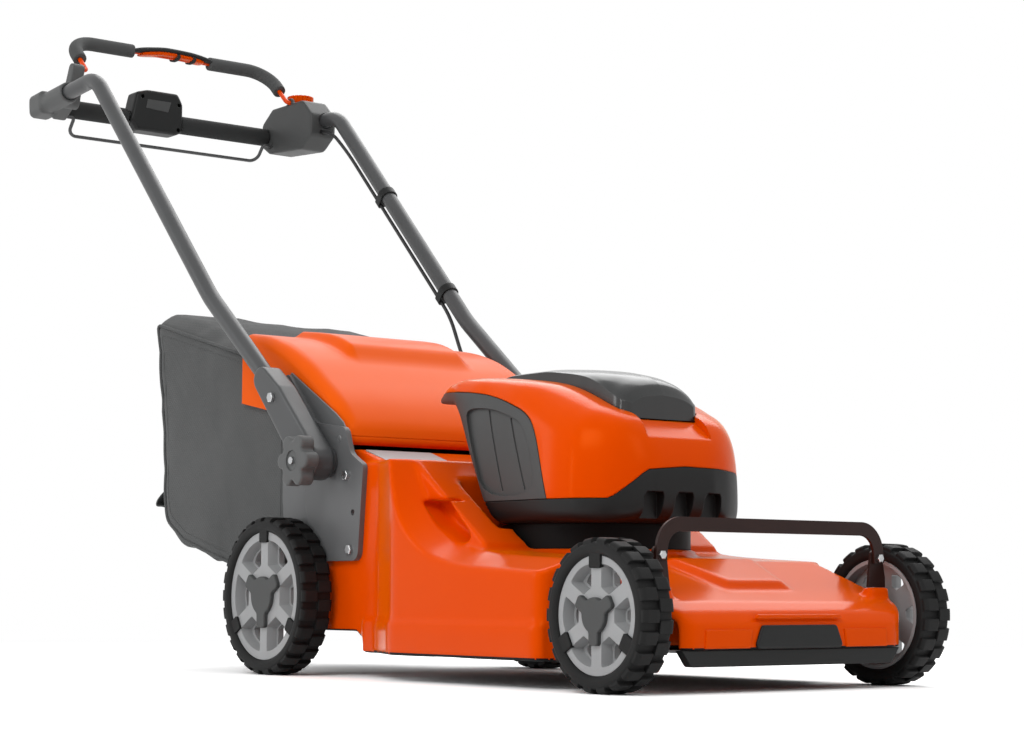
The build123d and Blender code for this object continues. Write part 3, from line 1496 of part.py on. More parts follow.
CABLE_ROUTE = (
    CABLE_ENTRY,
    CABLE_EXIT,
    along_tube(90),
    along_tube(535),
    Vector(-206, CABLE_Y - 2, 510),
    Vector(-172, CABLE_Y - 4, 452),
    Vector(-112, CABLE_Y - 3, 414),
    Vector(-50.5, CABLE_Y, 409),
)


def route_radii(points):
    """The largest fillet radius that each corner's two runs leave room for."""
    radii = []
    for before, here, after in zip(points, points[1:], points[2:]):
        turn = (here - before).get_angle(after - here)
        shorter = min((here - before).length, (after - here).length)
        radii.append(0.45 * shorter / tan(radians(turn / 2)))
    return radii


with BuildPart() as cable:
    with BuildLine() as path:
        FilletPolyline(*CABLE_ROUTE, radius=route_radii(CABLE_ROUTE))
    with BuildSketch(Plane(origin=path.line @ 0, z_dir=path.line % 0)) as section:
        Circle(CABLE_RADIUS)
    sweep()
save(cable.part, "control_cable")
print("cable radii", [round(r) for r in route_radii(CABLE_ROUTE)])

with BuildPart() as clips:
    for distance in CLIP_SPOTS:
        centre = TUBE_TOP_BEND + MAIN_RUN * distance + Vector(0, TUBE_Y, 0)
        clip_plane = Plane(origin=centre, x_dir=(0, 1, 0), z_dir=MAIN_RUN)
        lead = clip_plane.to_local_coords(along_tube(distance))
        with BuildSketch(clip_plane) as loop:
            Circle(TUBE_RADIUS + CLIP_WALL)
            with Locations((lead.X, lead.Y)):
                Circle(CABLE_RADIUS + CLIP_WALL)
            make_hull()
            Circle(TUBE_RADIUS + FIT, mode=Mode.SUBTRACT)
            with Locations((lead.X, lead.Y)):
                Circle(CABLE_RADIUS + FIT, mode=Mode.SUBTRACT)
        extrude(amount=CLIP_WIDTH / 2, both=True)
save(clips.part, "cable_clips")

# Rear flap


def flap_line(drop):
    """The flap's top line from its hinge to its rear edge, lowered by drop."""
    return (
        (FLAP_PIN_X + 6, FLAP_PIN_Z + 7 - drop),
        (FLAP_PIN_X - 8, FLAP_PIN_Z + 30 - drop),
        (86, 381 - drop),
        (42, 411 - drop),
        (-14, 446 - drop),
        (-61, 466 - drop),
        (-110, 479 - drop),
        (FLAP_REAR_X, 488 - drop),
    )


with BuildPart() as flap:
    with BuildSketch(Plane.XZ) as outline:
        with BuildLine():
            Spline(*flap_line(0))
            Polyline(
                flap_line(0)[-1],
                (FLAP_REAR_X, 394),
                (-51, 371),
                (40, 348),
                (FLAP_PIN_X - 4, FLAP_PIN_Z - 4),
                flap_line(0)[0],
            )
        make_face()
    extrude(amount=FLAP_HALF, both=True)
    top_sides = flap.edges().filter_by(GeomType.BSPLINE)
    fillet(top_sides, radius=10)
    # The raised ridge along the middle, with sloping flanks
    with BuildSketch(Plane.XZ) as ridge:
        with BuildLine():
            FilletPolyline(
                (-50, 450),
                (-92, 492),
                (FLAP_REAR_X, 506),
                (FLAP_REAR_X, 470),
                radius=[0, 30, 0, 0],
                close=True,
            )
        make_face()
    ridge_block = extrude(amount=FLAP_RIDGE_HALF, both=True, mode=Mode.PRIVATE)
    with BuildSketch(Plane.YZ.offset(FLAP_REAR_X)) as flanks:
        with BuildLine():
            Polyline(
                (-FLAP_RIDGE_HALF, 440),
                (-FLAP_RIDGE_HALF, 462),
                (-FLAP_RIDGE_HALF + 24, 512),
                (FLAP_RIDGE_HALF - 24, 512),
                (FLAP_RIDGE_HALF, 462),
                (FLAP_RIDGE_HALF, 440),
                close=True,
            )
        make_face()
    add(ridge_block & extrude(amount=150, mode=Mode.PRIVATE))
    with BuildSketch(Plane.XZ) as hollow:
        with BuildLine():
            Spline(*flap_line(FLAP_WALL))
            Polyline(
                flap_line(FLAP_WALL)[-1],
                (FLAP_REAR_X - 5, 488 - FLAP_WALL),
                (FLAP_REAR_X - 5, 300),
                (FLAP_PIN_X - 14, 300),
                (FLAP_PIN_X - 14, FLAP_PIN_Z + 7 - FLAP_WALL),
                flap_line(FLAP_WALL)[0],
            )
        make_face()
    extrude(amount=FLAP_HALF - FLAP_WALL, both=True, mode=Mode.SUBTRACT)
    with BuildSketch(Plane.XZ) as knuckle:
        with Locations((FLAP_PIN_X, FLAP_PIN_Z)):
            Circle(FLAP_KNUCKLE)
    extrude(amount=FLAP_HALF, both=True)
    with BuildSketch(Plane.XZ) as pin_bore:
        with Locations((FLAP_PIN_X, FLAP_PIN_Z)):
            Circle(FLAP_PIN_RADIUS + RUN)
    extrude(amount=FLAP_HALF + 5, both=True, mode=Mode.SUBTRACT)
save(flap.part, "rear_flap")

# Grass collector: a mouth frame that hooks over the tower, and a fabric bag


def bag_outline(inset):
    """The bag's side view, drawn in by inset."""
    with BuildSketch() as outline:
        with BuildLine():
            FilletPolyline(
                (BAG_FRONT_X, 150),
                (BAG_FRONT_X, 444),
                (-165, 468),
                (BAG_REAR_X + 6, 541),
                (BAG_REAR_X + 50, 330),
                (BAG_REAR_X + 66, 238),
                (-203, 158),
                radius=[0, 0, 60, 26, 120, 30, 60],
                close=True,
            )
        make_face()
        if inset:
            offset(amount=-inset)
    return outline.sketch


with BuildPart() as bag:
    with BuildSketch(Plane.XZ) as outline:
        add(bag_outline(0))
    extrude(amount=BAG_HALF, both=True)
    with BuildSketch(Plane.YZ.offset(BAG_REAR_X - 20)) as section:
        with Locations((0, 345)):
            RectangleRounded(2 * BAG_HALF, 412, 34)
    extrude(amount=BAG_FRONT_X - BAG_REAR_X + 20, mode=Mode.INTERSECT)
    with BuildSketch(Plane.XZ) as inside:
        add(bag_outline(BAG_WALL))
        with Locations((BAG_FRONT_X, 297)):
            Rectangle(30, 294 - 2 * BAG_WALL)
    extrude(amount=BAG_HALF - BAG_WALL, both=True, mode=Mode.SUBTRACT)
save(bag.part, "grass_bag")

with BuildPart() as frame:
    with BuildSketch(Plane.YZ.offset(BAG_FRONT_X)) as outline:
        with Locations((0, 297)):
            RectangleRounded(2 * BAG_HALF, 294, 24)
            RectangleRounded(2 * BAG_HALF - 40, 254, 18, mode=Mode.SUBTRACT)
    extrude(amount=DECK_REAR_X - GAP - BAG_FRONT_X)
    # Hooks that rest on the tower's top
    with BuildSketch(Plane.XZ) as hook:
        with BuildLine():
            Polyline(
                (DECK_REAR_X - GAP - 6, TOWER_TOP),
                (DECK_REAR_X + 26, TOWER_TOP),
                (DECK_REAR_X + 26, TOWER_TOP + 8),
                (DECK_REAR_X - GAP - 6, TOWER_TOP + 12),
                close=True,
            )
        make_face()
    for start, end in ((-BAG_HALF + 6, -BAG_HALF + 34), (BAG_HALF - 34, BAG_HALF - 6)):
        add(Pos(0, end, 0) * extrude(hook.sketch, amount=end - start, mode=Mode.PRIVATE))
save(frame.part, "bag_frame")
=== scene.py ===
"""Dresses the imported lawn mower: camera, light, floor, finishes and the pieces that need a finer shape."""

import json
import logging
import math
from collections.abc import Iterator
from contextlib import contextmanager
from dataclasses import dataclass, field, replace
from enum import Enum

import bmesh
import bpy
from mathutils import Matrix, Vector, noise


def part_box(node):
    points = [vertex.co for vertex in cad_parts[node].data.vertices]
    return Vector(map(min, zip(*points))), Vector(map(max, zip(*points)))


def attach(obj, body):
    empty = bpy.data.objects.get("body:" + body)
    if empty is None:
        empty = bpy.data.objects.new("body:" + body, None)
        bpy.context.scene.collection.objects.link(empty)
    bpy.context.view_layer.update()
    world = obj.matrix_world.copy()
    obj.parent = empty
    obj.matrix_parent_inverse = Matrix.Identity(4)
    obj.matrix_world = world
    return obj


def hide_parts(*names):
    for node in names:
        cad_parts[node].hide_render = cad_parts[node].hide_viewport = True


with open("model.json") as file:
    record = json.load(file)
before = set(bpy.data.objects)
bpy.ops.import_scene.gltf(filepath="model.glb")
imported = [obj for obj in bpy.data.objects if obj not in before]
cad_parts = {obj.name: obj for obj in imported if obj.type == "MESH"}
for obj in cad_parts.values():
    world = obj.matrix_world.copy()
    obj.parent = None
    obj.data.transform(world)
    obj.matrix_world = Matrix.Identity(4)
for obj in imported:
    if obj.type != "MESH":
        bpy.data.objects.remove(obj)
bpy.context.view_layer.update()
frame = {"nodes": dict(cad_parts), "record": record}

LOG = logging.getLogger("mower")
MM = 0.001
WHITE = (1.0, 1.0, 1.0, 1.0)
# The sides of the mower, as seen by someone walking behind it, and their direction along y
SIDES = {"right": -1, "left": 1}
# Edges that turn by more than this many degrees are rounded and shaded as edges
CRISP_ANGLE = 32.0
# The same angle on small round pieces, which are shaded softer
SOFT_ANGLE = 50.0
RECORD_SLOT = {row["node"]: row["material_slot"] for row in frame["record"]["subparts"]}
NODE_BODY = {
    node: body for body, nodes in frame["record"]["behaviour"]["bodies"].items() for node in nodes
}

Piece = bpy.types.Object
Tree = bpy.types.NodeTree
Socket = bpy.types.NodeSocket
Span = tuple[float, float]
Triple = tuple[float, float, float]
Row = tuple[float, ...]
Table = list[Row]


def table(*points: Row) -> Table:
    """A dataclass field that holds a table or an outline."""
    return field(default_factory=lambda: list(points))


def linear(hex_color: str) -> tuple[float, float, float, float]:
    """Turn an sRGB hex colour into linear RGBA.

    Args:
        hex_color: six hex digits.

    Returns:
        The colour as four linear numbers, with alpha 1.
    """
    channels = [int(hex_color[i : i + 2], 16) / 255 for i in (0, 2, 4)]
    flat = [c / 12.92 if c <= 0.04045 else ((c + 0.055) / 1.055) ** 2.4 for c in channels]
    return (flat[0], flat[1], flat[2], 1.0)


def per_metre(size_mm: float) -> float:
    """The texture scale at which one cell of a pattern is so many millimetres wide."""
    return 1.0 / (size_mm * MM)


def clear_tree(owner: bpy.types.Material | bpy.types.World) -> Tree:
    """Give a material or world an empty node tree.

    Args:
        owner: the material or world.

    Returns:
        Its node tree.
    """
    owner.use_nodes = True
    owner.node_tree.nodes.clear()
    return owner.node_tree


def add_node(tree: Tree, kind: str, settings: dict | None = None, **inputs) -> bpy.types.Node:
    """Add one shader node, set it up and link it.

    Args:
        tree: the node tree that gets the node.
        kind: the node's Blender type name, from ShaderNode on.
        settings: attributes of the node itself.
        inputs: input name, with spaces as underscores, or the letter i and the input's number, to a value
            or to an output socket to link.

    Returns:
        The new node.
    """
    node = tree.nodes.new(f"ShaderNode{kind}")
    for key, value in (settings or {}).items():
        setattr(node, key, value)
    for key, value in inputs.items():
        index = int(key[1:]) if key[0] == "i" and key[1:].isdigit() else key.replace("_", " ")
        socket = node.inputs[index]
        if isinstance(value, Socket):
            tree.links.new(value, socket)
        else:
            socket.default_value = value
    return node


class Grain(Enum):
    """The kinds of fine surface that the finishes have."""

    SPARK = "spark eroded"
    PAINT = "sprayed paint"
    FOAM = "foam pores"
    RUBBER = "moulded rubber"
    BRUSHED = "brushed metal"
    CAST = "cast metal"
    WOVEN = "woven cloth"


# Detail and roughness of the noise in the grains that are noise
NOISE_GRAIN = {
    Grain.SPARK: (3.0, 0.65),
    Grain.PAINT: (3.0, 0.65),
    Grain.CAST: (3.0, 0.65),
    Grain.RUBBER: (6.0, 0.75),
    Grain.BRUSHED: (4.0, 0.5),
}
# Brushed lines are this much longer along x than they are wide
BRUSH_STRETCH = (1.0, 12.0, 12.0)
# A wave texture draws this many bands per unit of its scale
WAVE_BANDS = 3.18
# How far the threads of a cloth wander
THREAD_WANDER = 1.2
# The span of the patch noise over which the colour changes, and the one over which the gloss does
TINT_SPAN = (0.35, 0.75)
GLOSS_SPAN = (0.3, 0.7)
SHEEN_ROUGHNESS = 0.4
EDGE_SAMPLES = 4


@dataclass(frozen=True)
class Finish:
    """One real material: its colour, gloss and surface.

    Attributes:
        name: the material's common name.
        color: its sRGB colour.
        worn: the sRGB colour that it fades to where it is dusty or rubbed.
        roughness: its mean roughness.
        spread: how much the roughness varies.
        metallic: 1 for bare metal.
        grain: the kind of fine surface.
        grain_mm: the size of that grain.
        depth_mm: the height of that grain.
        sheen: strength of the soft glow at grazing angles.
        sheen_tint: the sRGB colour of that glow.
        mottle: how strongly the colour varies.
        mottle_mm: the size of the patches of colour.
        specular: strength of the reflection at right angles to the surface.
        specular_tint: the sRGB colour of that reflection.
        edge_mm: the radius to which moulding or paint rounds the edges.
    """

    name: str
    color: str
    worn: str
    roughness: float
    spread: float = 0.06
    metallic: float = 0.0
    grain: Grain = Grain.SPARK
    grain_mm: float = 1.2
    depth_mm: float = 0.03
    sheen: float = 0.0
    sheen_tint: str = "FFFFFF"
    mottle: float = 0.35
    mottle_mm: float = 60.0
    specular: float = 0.5
    specular_tint: str = "FFFFFF"
    edge_mm: float = 1.2

    def material(self) -> bpy.types.Material:
        """The Blender material, made on first use.

        Returns:
            The material that has this finish's name.
        """
        found = bpy.data.materials.get(self.name)
        if found:
            return found
        made = bpy.data.materials.new(self.name)
        tree = clear_tree(made)
        place = add_node(tree, "TexCoord").outputs["Object"]
        patches = add_node(
            tree, "TexNoise", Vector=place, Scale=per_metre(self.mottle_mm), Detail=4.0, Roughness=0.6
        ).outputs["Fac"]
        share = add_node(
            tree, "MapRange", Value=patches, From_Min=TINT_SPAN[0], From_Max=TINT_SPAN[1],
            To_Min=0.0, To_Max=self.mottle,
        ).outputs["Result"]
        tint = add_node(
            tree, "Mix", {"data_type": "RGBA"}, i0=share, i6=linear(self.color), i7=linear(self.worn)
        ).outputs[2]
        gloss = add_node(
            tree, "MapRange", Value=patches, From_Min=GLOSS_SPAN[0], From_Max=GLOSS_SPAN[1],
            To_Min=self.roughness - self.spread, To_Max=self.roughness + self.spread,
        ).outputs["Result"]
        rounded = add_node(tree, "Bevel", {"samples": EDGE_SAMPLES}, Radius=self.edge_mm * MM)
        surface = add_node(
            tree, "Bump", Height=self.height(tree, place), Distance=self.depth_mm * MM,
            Strength=1.0, Normal=rounded.outputs["Normal"],
        )
        shader = add_node(
            tree, "BsdfPrincipled", Base_Color=tint, Roughness=gloss, Metallic=self.metallic,
            Specular_IOR_Level=self.specular, Specular_Tint=linear(self.specular_tint),
            Sheen_Weight=self.sheen, Sheen_Tint=linear(self.sheen_tint), Sheen_Roughness=SHEEN_ROUGHNESS,
            Normal=surface.outputs["Normal"],
        )
        add_node(tree, "OutputMaterial", Surface=shader.outputs["BSDF"])
        return made

    def height(self, tree: Tree, place: Socket) -> Socket:
        """The height of the fine surface.

        Args:
            tree: the material's node tree.
            place: the texture coordinates, in metres.

        Returns:
            The socket that carries the height.
        """
        scale = per_metre(self.grain_mm)
        if self.grain is Grain.FOAM:
            feature = {"feature": "DISTANCE_TO_EDGE"}
            return add_node(tree, "TexVoronoi", feature, Vector=place, Scale=scale).outputs["Distance"]
        if self.grain is Grain.WOVEN:
            warp, weft = (
                add_node(
                    tree, "TexWave", {"bands_direction": way}, Vector=place,
                    Scale=scale / WAVE_BANDS, Distortion=THREAD_WANDER, Detail=1.0,
                ).outputs["Fac"]
                for way in ("DIAGONAL", "Z")
            )
            upper = add_node(tree, "Math", {"operation": "MAXIMUM"}, i0=warp, i1=weft)
            return upper.outputs["Value"]
        if self.grain is Grain.BRUSHED:
            place = add_node(tree, "Mapping", Vector=place, Scale=BRUSH_STRETCH).outputs["Vector"]
        detail, rough = NOISE_GRAIN[self.grain]
        ripple = add_node(tree, "TexNoise", Vector=place, Scale=scale, Detail=detail, Roughness=rough)
        return ripple.outputs["Fac"]


# Injection-moulded ABS in orange: a polished mould gives it clear, soft-edged reflections
ORANGE_ABS = Finish(
    "moulded_orange_abs", "E44A00", "DC4200", 0.18, spread=0.03, grain_mm=14.0, mottle=0.3, mottle_mm=160.0,
    sheen=0.35, sheen_tint="FFA000", specular=0.13, specular_tint="FF9A40", edge_mm=3.0,
)
# The same orange ABS with a satin gloss, so that the flap's top stays orange under the light from above; its
# colour is painted a shade paler, as painted light from above on the flap
SATIN_ORANGE_PAINTED_LIGHT = replace(
    ORANGE_ABS, name="satin_orange_abs_painted_light", color="EC5C0C", worn="E65408", roughness=0.32, sheen=0.0,
    sheen_tint="FFFFFF", specular=0.07,
)
# Moulded ABS in black with a spark-eroded texture: broad dull highlights
BLACK_ABS = Finish(
    "moulded_black_abs", "161717", "1E1F1F", 0.42, grain_mm=1.4, depth_mm=0.05, specular=0.2, edge_mm=2.0
)
# Black ABS painted darker as painted shade, for parts that sit in shade: the same texture, with less gloss
BLACK_ABS_PAINTED_SHADE = replace(
    BLACK_ABS, name="black_abs_painted_shade", color="0B0B0B", worn="111212", roughness=0.55, specular=0.1
)
# Moulded ABS in dark grey: the same texture, whose paler ground shows its broad highlights less
GREY_ABS = replace(
    BLACK_ABS, name="moulded_dark_grey_abs", color="404141", worn="4A4B4B", roughness=0.44, specular=0.25,
    edge_mm=1.2,
)
# Moulded nylon of the knobs and the corner socket: a dry, paler grey
KNOB_NYLON = replace(GREY_ABS, name="moulded_grey_nylon", color="555656", worn="616262", roughness=0.5)
# Polished black ABS of the lid: it mirrors the bright room along its dome
GLOSS_ABS = Finish("polished_black_abs", "222323", "2A2B2B", 0.2, grain_mm=9.0)
# Glass-filled nylon in silver grey: satin, faintly mottled by the filler
SILVER_NYLON = Finish("filled_silver_nylon", "9A9B9C", "8A8B8C", 0.38, grain_mm=1.6, depth_mm=0.04)
# Moulded tyre rubber: matt, with a dusty bloom
TYRE_RUBBER = Finish(
    "moulded_tyre_rubber", "171717", "232323", 0.6, grain=Grain.RUBBER, grain_mm=2.5, depth_mm=0.15,
    specular=0.16, edge_mm=2.0,
)
# EVA foam sleeve: matt, with closed pores, drawn coarse enough to show
GRIP_FOAM = Finish(
    "eva_grip_foam", "2C2D2D", "383939", 0.7, grain=Grain.FOAM, grain_mm=1.6, depth_mm=0.08, specular=0.15
)
# The bail's sleeve: the same foam in a paler grey
BAIL_FOAM = replace(GRIP_FOAM, name="eva_bail_foam", color="4B4C4C", worn="575858")
# Extruded PVC sheath: black, slightly waxy
PVC_SHEATH = Finish("pvc_cable_sheath", "1B1B1C", "262627", 0.45, grain=Grain.RUBBER, grain_mm=3.0)
# Powder-coated steel tube in dark grey: orange-peel ripple under a satin film
POWDER_GREY = Finish(
    "powder_coated_dark_steel", "414243", "4A4B4C", 0.34, grain=Grain.PAINT, grain_mm=6.0, depth_mm=0.012,
    specular=0.4, edge_mm=0.5,
)
# Powder-coated steel plate in mid grey: a finer ripple, so that its highlights are duller
POWDER_MID = Finish(
    "powder_coated_grey_steel", "5A5B5C", "656667", 0.4, grain=Grain.PAINT, grain_mm=2.2, depth_mm=0.02,
    specular=0.35,
)
# Powder-coated steel wire in orange: the same ripple, a little glossier
POWDER_ORANGE = replace(
    POWDER_MID, name="powder_coated_orange_steel", color="E44800", worn="DA3F00", roughness=0.3,
    specular=0.2,
)
# Painted steel band with a brown cast: a thin even film, glossy along its edges
POWDER_BROWN = replace(
    POWDER_MID, name="painted_brown_steel", color="25110D", worn="311A14", roughness=0.34, depth_mm=0.015,
    specular=0.2,
)
# Zinc-plated steel: bright, with fine drawn lines
ZINC_STEEL = Finish(
    "zinc_plated_steel", "B9BABB", "9FA0A2", 0.3, metallic=1.0, grain=Grain.BRUSHED, grain_mm=1.5,
    depth_mm=0.02,
)
# Ground spring steel of the blade: darker, with the grinder's lines
BLADE_STEEL = Finish(
    "ground_blade_steel", "8C8D8E", "6F7071", 0.34, metallic=1.0, grain=Grain.BRUSHED, grain_mm=2.0
)
# Die-cast aluminium: a pale, slightly pitted skin
CAST_ALUMINIUM = Finish(
    "die_cast_aluminium", "A8A9AA", "8E8F90", 0.45, metallic=1.0, grain=Grain.CAST, grain_mm=2.5,
    depth_mm=0.05,
)
# Laminated motor iron: dark and dull
MOTOR_IRON = replace(
    CAST_ALUMINIUM, name="laminated_iron", color="4C4B4A", worn="3B3A39", roughness=0.5, grain_mm=2.0
)
# Glass-epoxy circuit board with green solder mask: an even, satin lacquer
SOLDER_MASK = Finish("green_solder_mask", "1E5A34", "17482A", 0.3, grain_mm=2.0, depth_mm=0.02)
# Woven polyester of the grass bag: matt thread with a slight sheen, the threads drawn coarse enough to show
BAG_CLOTH = Finish(
    "woven_polyester", "575858", "4B4C4C", 0.85, grain=Grain.WOVEN, grain_mm=3.2, depth_mm=0.25, sheen=0.15,
    specular=0.15, mottle=0.5, mottle_mm=120.0,
)
# Woven polyester tape of the loops: the same thread, packed closer and dyed darker
SEAM_TAPE = Finish(
    "polyester_seam_tape", "3F4040", "343535", 0.85, grain=Grain.WOVEN, grain_mm=2.2, depth_mm=0.2,
    specular=0.15,
)

SLOT_FINISH = {
    "orange_plastic": ORANGE_ABS,
    "black_plastic": BLACK_ABS,
    "dark_grey_plastic": GREY_ABS,
    "silver_grey_plastic": SILVER_NYLON,
    "tyre_rubber": TYRE_RUBBER,
    "grip_foam": GRIP_FOAM,
    "black_rubber": PVC_SHEATH,
    "dark_painted_steel": POWDER_GREY,
    "orange_painted_steel": POWDER_ORANGE,
    "grey_painted_steel": POWDER_MID,
    "zinc_steel": ZINC_STEEL,
    "motor_aluminium": CAST_ALUMINIUM,
    "motor_iron": MOTOR_IRON,
    "blade_steel": BLADE_STEEL,
    "board_green": SOLDER_MASK,
    "bag_fabric": BAG_CLOTH,
}
# Nodes whose finish differs from the rest of their slot
SPECIAL_FINISH = {
    "carry_band": POWDER_BROWN,
    "carry_band_brackets": POWDER_BROWN,
    # Painted shade: the plinth sits in shade under the hood and is painted darker
    "motor_plinth": BLACK_ABS_PAINTED_SHADE,
}


def link(name: str, data: bpy.types.ID) -> Piece:
    """Put a mesh, curve, lamp or camera into the scene.

    Args:
        name: the new object's name.
        data: what it shows.

    Returns:
        The new object.
    """
    piece = bpy.data.objects.new(name, data)
    bpy.context.collection.objects.link(piece)
    return piece


@dataclass(frozen=True)
class SoftBox:
    """One soft box of the studio.

    Attributes:
        name: the lamp's name.
        place: where it hangs, in metres.
        aim: the point that it faces.
        size: its width and height.
        power: its power in watts.
    """

    name: str
    place: Triple
    aim: Triple
    size: Span
    power: float

    def hang(self) -> None:
        """Add the lamp to the scene."""
        data = bpy.data.lights.new(self.name, "AREA")
        data.shape = "RECTANGLE"
        data.size, data.size_y = self.size
        data.energy = self.power
        box = link(self.name, data)
        box.location = self.place
        box.rotation_euler = (Vector(self.aim) - Vector(self.place)).to_track_quat("-Z", "Y").to_euler()


SOFT_BOXES = (
    SoftBox("ceiling_panel", (-1.0, 1.5, 2.6), (0.0, 0.0, 0.3), (3.0, 2.2), 46.0),
    SoftBox("key_box", (2.0, -2.9, 2.5), (0.2, 0.0, 0.3), (1.5, 1.5), 50.0),
    SoftBox("side_box", (-1.7, -3.0, 1.3), (0.0, 0.0, 0.3), (0.7, 1.8), 16.0),
    SoftBox("front_box", (3.4, 0.6, 1.6), (0.5, 0.0, 0.2), (0.9, 1.2), 9.0),
    SoftBox("edge_strip", (0.35, -3.0, 0.7), (0.2, 0.0, 0.2), (0.3, 1.2), 8.0),
)


@dataclass
class Studio:
    """Camera, light and floor, set up as the photograph was taken."""

    position: Triple = (2.69892, -1.89406, 0.11754)
    yaw: float = 52.4948
    pitch: float = 5.6128
    roll: float = 0.1978
    focal_px: float = 2224.66
    frame_px: float = 1024.0
    sensor: float = 36.0
    room_side: float = 0.14
    room_top: float = 0.85
    room_rise: Span = (0.05, 0.95)
    floor_reach: float = 30.0
    floor_bounce: float = 0.8
    floor_seen: float = 1.5
    floor_fade: Span = (1.0, 2.0)

    def camera(self) -> None:
        """Place the camera by its yaw, pitch and roll."""
        yaw, pitch, roll = (math.radians(a) for a in (self.yaw, self.pitch, self.roll))
        ahead = Vector((-math.sin(yaw) * math.cos(pitch), math.cos(yaw) * math.cos(pitch), math.sin(pitch)))
        right = Vector((math.cos(yaw), math.sin(yaw), 0.0))
        up = right.cross(ahead)
        across = right * math.cos(roll) + up * math.sin(roll)
        above = up * math.cos(roll) - right * math.sin(roll)
        data = bpy.data.cameras.new("photo_camera")
        data.sensor_width = self.sensor
        data.lens = self.focal_px / self.frame_px * self.sensor
        eye = link("photo_camera", data)
        turn = Matrix((across, above, -ahead)).transposed().to_4x4()
        eye.matrix_world = Matrix.Translation(self.position) @ turn
        bpy.context.scene.camera = eye
        bpy.context.scene.view_settings.view_transform = "Standard"

    @staticmethod
    def seen_ray(tree: Tree) -> Socket:
        """Tell the rays that see the room or floor, straight on, mirrored or through something.

        Args:
            tree: the node tree of the room or floor.

        Returns:
            A socket that is 1 for those rays.
        """
        path = add_node(tree, "LightPath").outputs
        seen = path["Is Camera Ray"]
        for kind in ("Is Glossy Ray", "Is Transmission Ray"):
            either = add_node(tree, "Math", {"operation": "MAXIMUM"}, i0=seen, i1=path[kind])
            seen = either.outputs["Value"]
        return seen

    def lights(self) -> None:
        """A studio that is bright above and dim at the sides, with a few soft boxes."""
        world = bpy.data.worlds.new("studio_room")
        bpy.context.scene.world = world
        tree = clear_tree(world)
        way = add_node(tree, "TexCoord").outputs["Generated"]
        level = add_node(
            tree, "MapRange", {"interpolation_type": "SMOOTHSTEP"},
            Value=add_node(tree, "SeparateXYZ", Vector=way).outputs["Z"],
            From_Min=self.room_rise[0], From_Max=self.room_rise[1], To_Min=self.room_side,
            To_Max=self.room_top,
        ).outputs["Result"]
        room = add_node(tree, "Background", Color=WHITE, Strength=level)
        seen = add_node(tree, "Background", Color=WHITE, Strength=1.0)
        mixed = add_node(
            tree, "MixShader", i0=self.seen_ray(tree), i1=room.outputs["Background"],
            i2=seen.outputs["Background"],
        )
        add_node(tree, "OutputWorld", Surface=mixed.outputs["Shader"])
        for box in SOFT_BOXES:
            box.hang()

    def floor(self) -> None:
        """A wide white floor that takes the shadow and runs out into the white of the room."""
        reach = self.floor_reach
        corners = [(-reach, -reach, 0), (reach, -reach, 0), (reach, reach, 0), (-reach, reach, 0)]
        plane = new_piece("floor", corners, [(0, 1, 2, 3)])
        paper = bpy.data.materials.new("white_paper_floor")
        tree = clear_tree(paper)
        dull, bright = (
            add_node(tree, "BsdfDiffuse", Color=(level, level, level, 1.0))
            for level in (self.floor_bounce, self.floor_seen)
        )
        white = add_node(tree, "Emission", Color=WHITE, Strength=1.0)
        place = add_node(tree, "NewGeometry").outputs["Position"]
        away = add_node(tree, "VectorMath", {"operation": "LENGTH"}, i0=place).outputs["Value"]
        fade = add_node(
            tree, "MapRange", {"interpolation_type": "SMOOTHSTEP"}, Value=away,
            From_Min=self.floor_fade[0], From_Max=self.floor_fade[1],
        ).outputs["Result"]
        shown = add_node(
            tree, "MixShader", i0=fade, i1=bright.outputs["BSDF"], i2=white.outputs["Emission"]
        )
        mixed = add_node(
            tree, "MixShader", i0=self.seen_ray(tree), i1=dull.outputs["BSDF"], i2=shown.outputs["Shader"]
        )
        add_node(tree, "OutputMaterial", Surface=mixed.outputs["Shader"])
        plane.data.materials.append(paper)


def clamp(share: float) -> float:
    """Hold a share between 0 and 1."""
    return min(1.0, max(0.0, share))


def eased(share: float) -> float:
    """A share that starts and ends gently."""
    return share * share * (3 - 2 * share)


def end_spaced(steps: int, evenness: float = 0.0) -> list[float]:
    """Shares from 0 to 1 that lie closer together at both ends.

    Args:
        steps: how many steps there are.
        evenness: 0 for the closest ends, 1 for even steps.

    Returns:
        The shares, one more than the steps.
    """
    shares = []
    for i in range(steps + 1):
        crowded = 0.5 - 0.5 * math.cos(math.pi * i / steps)
        shares.append((1 - evenness) * crowded + evenness * i / steps)
    return shares


def value_at(points: Table, x: float) -> float:
    """Read a table along a smooth curve with no overshoot between its points.

    Args:
        points: pairs of place and value, in rising order of place.
        x: the place.

    Returns:
        The value there, held past the table's ends.
    """
    xs, ys = zip(*points)
    if x <= xs[0]:
        return ys[0]
    if x >= xs[-1]:
        return ys[-1]
    steps = [(ys[i + 1] - ys[i]) / (xs[i + 1] - xs[i]) for i in range(len(xs) - 1)]
    slopes = [steps[0]]
    for before, after in zip(steps, steps[1:]):
        slopes.append(0.0 if before * after <= 0 else 2 * before * after / (before + after))
    slopes.append(steps[-1])
    i = max(k for k in range(len(steps)) if xs[k] <= x)
    width = xs[i + 1] - xs[i]
    t = (x - xs[i]) / width
    return (
        ys[i] * (1 + 2 * t) * (1 - t) ** 2
        + ys[i + 1] * eased(t)
        + width * slopes[i] * t * (1 - t) ** 2
        + width * slopes[i + 1] * t * t * (t - 1)
    )


def chaikin(points: list[Vector], rounds: int, closed: bool = False) -> list[Vector]:
    """Round a polygon's corners by cutting them again and again.

    Args:
        points: the polygon's corners.
        rounds: how many times to cut.
        closed: whether the last point joins the first.

    Returns:
        The rounded polygon.
    """
    for _ in range(rounds):
        following = points[1:] + points[:1] if closed else points[1:]
        corners = []
        for a, b in zip(points, following):
            corners += [a.lerp(b, 0.25), a.lerp(b, 0.75)]
        points = corners if closed else [points[0], *corners, points[-1]]
    return points


